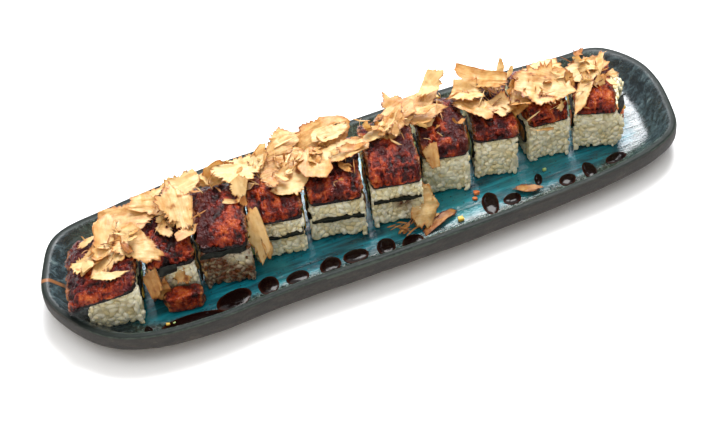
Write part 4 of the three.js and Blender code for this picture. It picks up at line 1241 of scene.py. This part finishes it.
def flake_heap(name, laid, material, node):
    """Joins laid flakes into one piece and gives them their thickness."""
    starts = np.cumsum([0] + [len(flake[0]) for flake in laid])
    points, flat, edge, tone = (np.concatenate([flake[part] for flake in laid]) for part in range(4))
    faces = np.concatenate([flake[4] + start for flake, start in zip(laid, starts)])
    used, places = np.unique(faces, return_inverse=True)
    shell, walls = thickened(points[used], places.reshape(faces.shape), FLAKE_THICKNESS)
    heap = mesh_from_arrays(name, shell, walls)
    attribute = heap.data.attributes.new("flat", "FLOAT_VECTOR", "POINT")
    attribute.data.foreach_set("vector", np.tile(flat[used], (2, 1)).astype(np.float32).ravel())
    write_values(heap, "edge", np.tile(edge[used], 2))
    write_values(heap, "tone", np.tile(tone[used], 2))
    return finish_piece(heap, material, "flakes", node)


def slice_flakes(number, random):
    """The large flakes of a slice, then small torn ones and shreds between and on them."""
    slab = SLICES[number - 1]
    middle_x, middle_y = slice_middle(slab)
    laid = []
    for across, back, lift, long, wide, turn, pitch, bend, tip in FLAKES[number - 1]:
        x, y = middle_x + across, middle_y + back
        z = top_under(np.array([[x, y, 0.0]]), FLAKE_MARGIN)[0] + lift
        holes = 0.2 if random.random() < 0.35 else 0
        shape = flake_piece(random, long * FLAKE_GROWTH, wide * FLAKE_GROWTH, ragged=0.13, holes=holes)
        laid.append(lay_flake(shape, random, x, y, z, turn, pitch, tip, bend, random.uniform(-0.35, 0.3)))
    for across, back, z, long, wide, turn, pitch, bend, tip, tone in TORN[number - 1]:
        x, y = middle_x + across, middle_y + back
        rest = z < ABOVE_TABLE
        if rest:
            z += top_under(np.array([[x, y, 0.0]]), FLAKE_MARGIN)[0]
        long, wide = long * FLAKE_GROWTH, wide * FLAKE_GROWTH
        shape = flake_piece(random, long, wide, ragged=0.18, cells=(32, 22), holes=0.15)
        laid.append(lay_flake(shape, random, x, y, z, turn, pitch, tip, bend, tone, rest=rest))
    centre = np.mean([(row[0], row[1]) for row in FLAKES[number - 1]], axis=0)
    for place in range(SMALL_FLAKES + SHREDS):
        small = place < SMALL_FLAKES
        x, y = middle_x + centre[0] + random.normal(0, 8), middle_y + centre[1] + random.normal(0, 7.5)
        z = top_under(np.array([[x, y, 0.0]]))[0]
        if z < LOWEST_EEL:
            continue
        if small:
            long, wide = random.uniform(4, 12), random.uniform(3, 8)
            shape = flake_piece(random, long, wide, ragged=0.26, cells=(18, 12))
        else:
            long, wide = random.uniform(3, 14), random.uniform(0.4, 1.4)
            shape = flake_piece(random, long, wide, ragged=0.15, cells=(12, 3))
        laid.append(lay_flake(shape, random, x, y, z + random.uniform(0.6, 6.5), random.uniform(0, 180),
                              random.normal(0, 34), random.normal(0, 38), random.uniform(-80, 40),
                              random.uniform(-0.5, 0.85), wrinkle=0.6 if small else 0.2))
    return laid


def make_flakes(material):
    for number in range(1, len(SLICES) + 1):
        random = np.random.default_rng(2000 + number)
        laid = slice_flakes(number, random)
        flake_heap(f"bonito_heap_{number:02d}", laid, material, f"flakes_{number:02d}")


# Bonito on the plate: the node that each lot replaces, how many flakes, and their direction

PLATE_FLAKES = [("shreds_on_plate", 18, -8), ("flake_strip_left", 1, 16), ("flake_strip_right", 2, -24)]


def make_plate_flakes(material):
    """Strips and shreds that fell to the plate."""
    for node, count, turn in PLATE_FLAKES:
        random = np.random.default_rng(len(node) * 37)
        low, high = (np.array(corner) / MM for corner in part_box(node))
        size, middle = high - low, (low + high) / 2
        loose = count > 4
        laid = []
        for _ in range(count):
            long, wide = (random.uniform(5, 12), random.uniform(0.6, 2.6)) if loose else (size[0] * 1.05, 6.4)
            x, y = middle[:2] + random.normal(0, 1, 2) * size[:2] * (0.3 if loose else 0.04)
            shape = flake_piece(random, long, wide, ragged=0.14, cells=(20, 8))
            laid.append(lay_flake(shape, random, x, y, middle[2] + random.uniform(-0.6, 1.2),
                                  random.uniform(-50, 50) if loose else turn, random.normal(0, 5),
                                  random.normal(0, 6), -30, random.uniform(0.2, 0.8), rest=False))
        flake_heap(f"bonito_{node}", laid, material, node)


# Crumbs of the filling that fell out: place, size and kind. Without a height they lie on the plate

CRUMBS = [
    (140.4, -17.8, 29.0, 3.0, "carrot"), (142.6, -14.8, 28.4, 2.8, "omelette"),
    (138.0, -16.5, 31.0, 2.0, "carrot"), (53.5, -20.0, 0, 2.6, "carrot"), (51.0, -23.5, 0, 2.0, "carrot"),
    (-123.5, -33.9, 0, 1.6, "omelette"), (-120.5, -34.5, 0, 1.0, "cucumber"),
    (38.0, -33.5, 0, 2.2, "omelette"), (94.0, -20.5, 0, 1.5, "cucumber"),
]


def make_crumbs(materials):
    """Torn bits of carrot, omelette and cucumber."""
    for kind in ("carrot", "omelette", "cucumber"):
        bits = []
        for number, (x, y, z, size, of_kind) in enumerate(CRUMBS):
            if of_kind != kind:
                continue
            bit, block = subdivided_block(f"crumb_{kind}_{number}", 3)
            points = block * round_off(block, 5) * size / 2
            shift = np.array([0, 0, number * 9.0])
            points *= (1 + 0.4 * smooth_noise(points + shift, 1.6, 60))[:, None]
            points[:, 0] *= 1.3
            move_vertices(bit, points + np.array([x, y, max(z, FLOOR_HEIGHT + 0.4 * size)]))
            bits.append(bit)
        finish_piece(join(bits, f"crumbs_{kind}"), materials[kind], "filling")


# Camera, light and floor


def make_camera():
    """A 70 mm lens a good half metre away, rolled a little, as the photograph was taken."""
    data = bpy.data.cameras.new("camera")
    camera = new_object("camera", data)
    right = Vector((0.92258, -0.37878, -0.07326))
    up = Vector((0.31900, 0.64214, 0.69707))
    towards = right.cross(up)
    turned = Matrix((right, up, towards)).transposed().to_4x4()
    camera.matrix_world = Matrix.Translation(Vector((-160.98, -494.44, 549.14)) * MM) @ turned
    data.lens = 70
    data.sensor_width = 36
    data.shift_x = -0.01144
    data.shift_y = -0.03726
    data.clip_start = 0.01
    bpy.context.scene.camera = camera


def make_light(name, place, target, size, power, colour):
    data = bpy.data.lights.new(name, "AREA")
    data.shape = "RECTANGLE"
    data.size, data.size_y = size
    data.energy = power
    data.color = linear(colour)[:3]
    light = new_object(name, data)
    light.location = place
    light.rotation_euler = (Vector(target) - Vector(place)).to_track_quat("-Z", "Y").to_euler()


# The lights, in metres: place, what they point at, size, power and colour

LIGHTS = {
    "key_above": ((0.35, 0.50, 1.15), (0.0, 0.0, 0.02), (0.55, 0.45), 17, "#ffffff"),
    "window_behind": ((0.44, 0.92, 1.0), (0.04, 0.0, 0.02), (1.0, 0.42), 15, "#f4f8ff"),
    "wide_above": ((-0.1, -0.1, 1.7), (0.0, 0.0, 0.02), (2.4, 2.0), 26, "#ffffff"),
    "soft_front": ((-0.9, -0.9, 0.5), (0, 0, 0.02), (0.8, 0.8), 4, "#fff0dc"),
}


def make_studio():
    """White sweep, soft lights behind, above and to the front left, and an even white world."""
    deselect()
    bpy.ops.mesh.primitive_plane_add(size=6, location=(0, 0, -0.0002))
    floor = bpy.context.object
    floor.name = "studio_floor"
    material, tree, shader, place = new_material("white_studio_sweep")
    paper = mixed(tree, noise(tree, place, per_mm(60), 2.0), linear("#fbfbfb"), linear("#ffffff"))
    feed(tree, shader, {"Base Color": paper, "Roughness": 0.9, "Specular IOR Level": 0.1})
    floor.data.materials.append(material)
    for name, light in LIGHTS.items():
        make_light(name, *light)
    world = bpy.data.worlds.new("studio_world")
    world.use_nodes = True
    background = world.node_tree.nodes["Background"]
    background.inputs["Color"].default_value = (1, 1, 1, 1)
    background.inputs["Strength"].default_value = 0.28
    bpy.context.scene.world = world
    bpy.context.scene.view_settings.view_transform = "Standard"


def build():
    rice = cooked_rice()
    nori = roasted_nori()
    eel = glazed_eel()
    bonito = shaved_bonito()
    sticks = {
        "cucumber": plain_food("cut_cucumber", "#7fa04a", "#cfdc9c", 3, 0.3, 0.4),
        "carrot": plain_food("cooked_carrot", "#c9571c", "#e88a3c", 2, 0.35, 0.3),
        "omelette": plain_food("sweet_omelette", "#d9a52c", "#f0cf62", 2.5, 0.45, 0.3),
        "gourd": plain_food("simmered_gourd", "#6b3f1c", "#a9743a", 2.5, 0.35, 0.3),
    }
    make_plate(glazed_stoneware(), bare_stoneware())
    make_sauce(sweet_soy_sauce())
    make_rice(rice, grain_shapes())
    for number, slab in enumerate(SLICES, 1):
        make_nori(slab, number, nori)
        make_filling(slab, number, sticks)
        make_eel(slab, number, eel)
    make_slipped_eel(eel)
    make_crumbs(sticks)
    make_flakes(bonito)
    make_plate_flakes(bonito)


build()
make_camera()
make_studio()
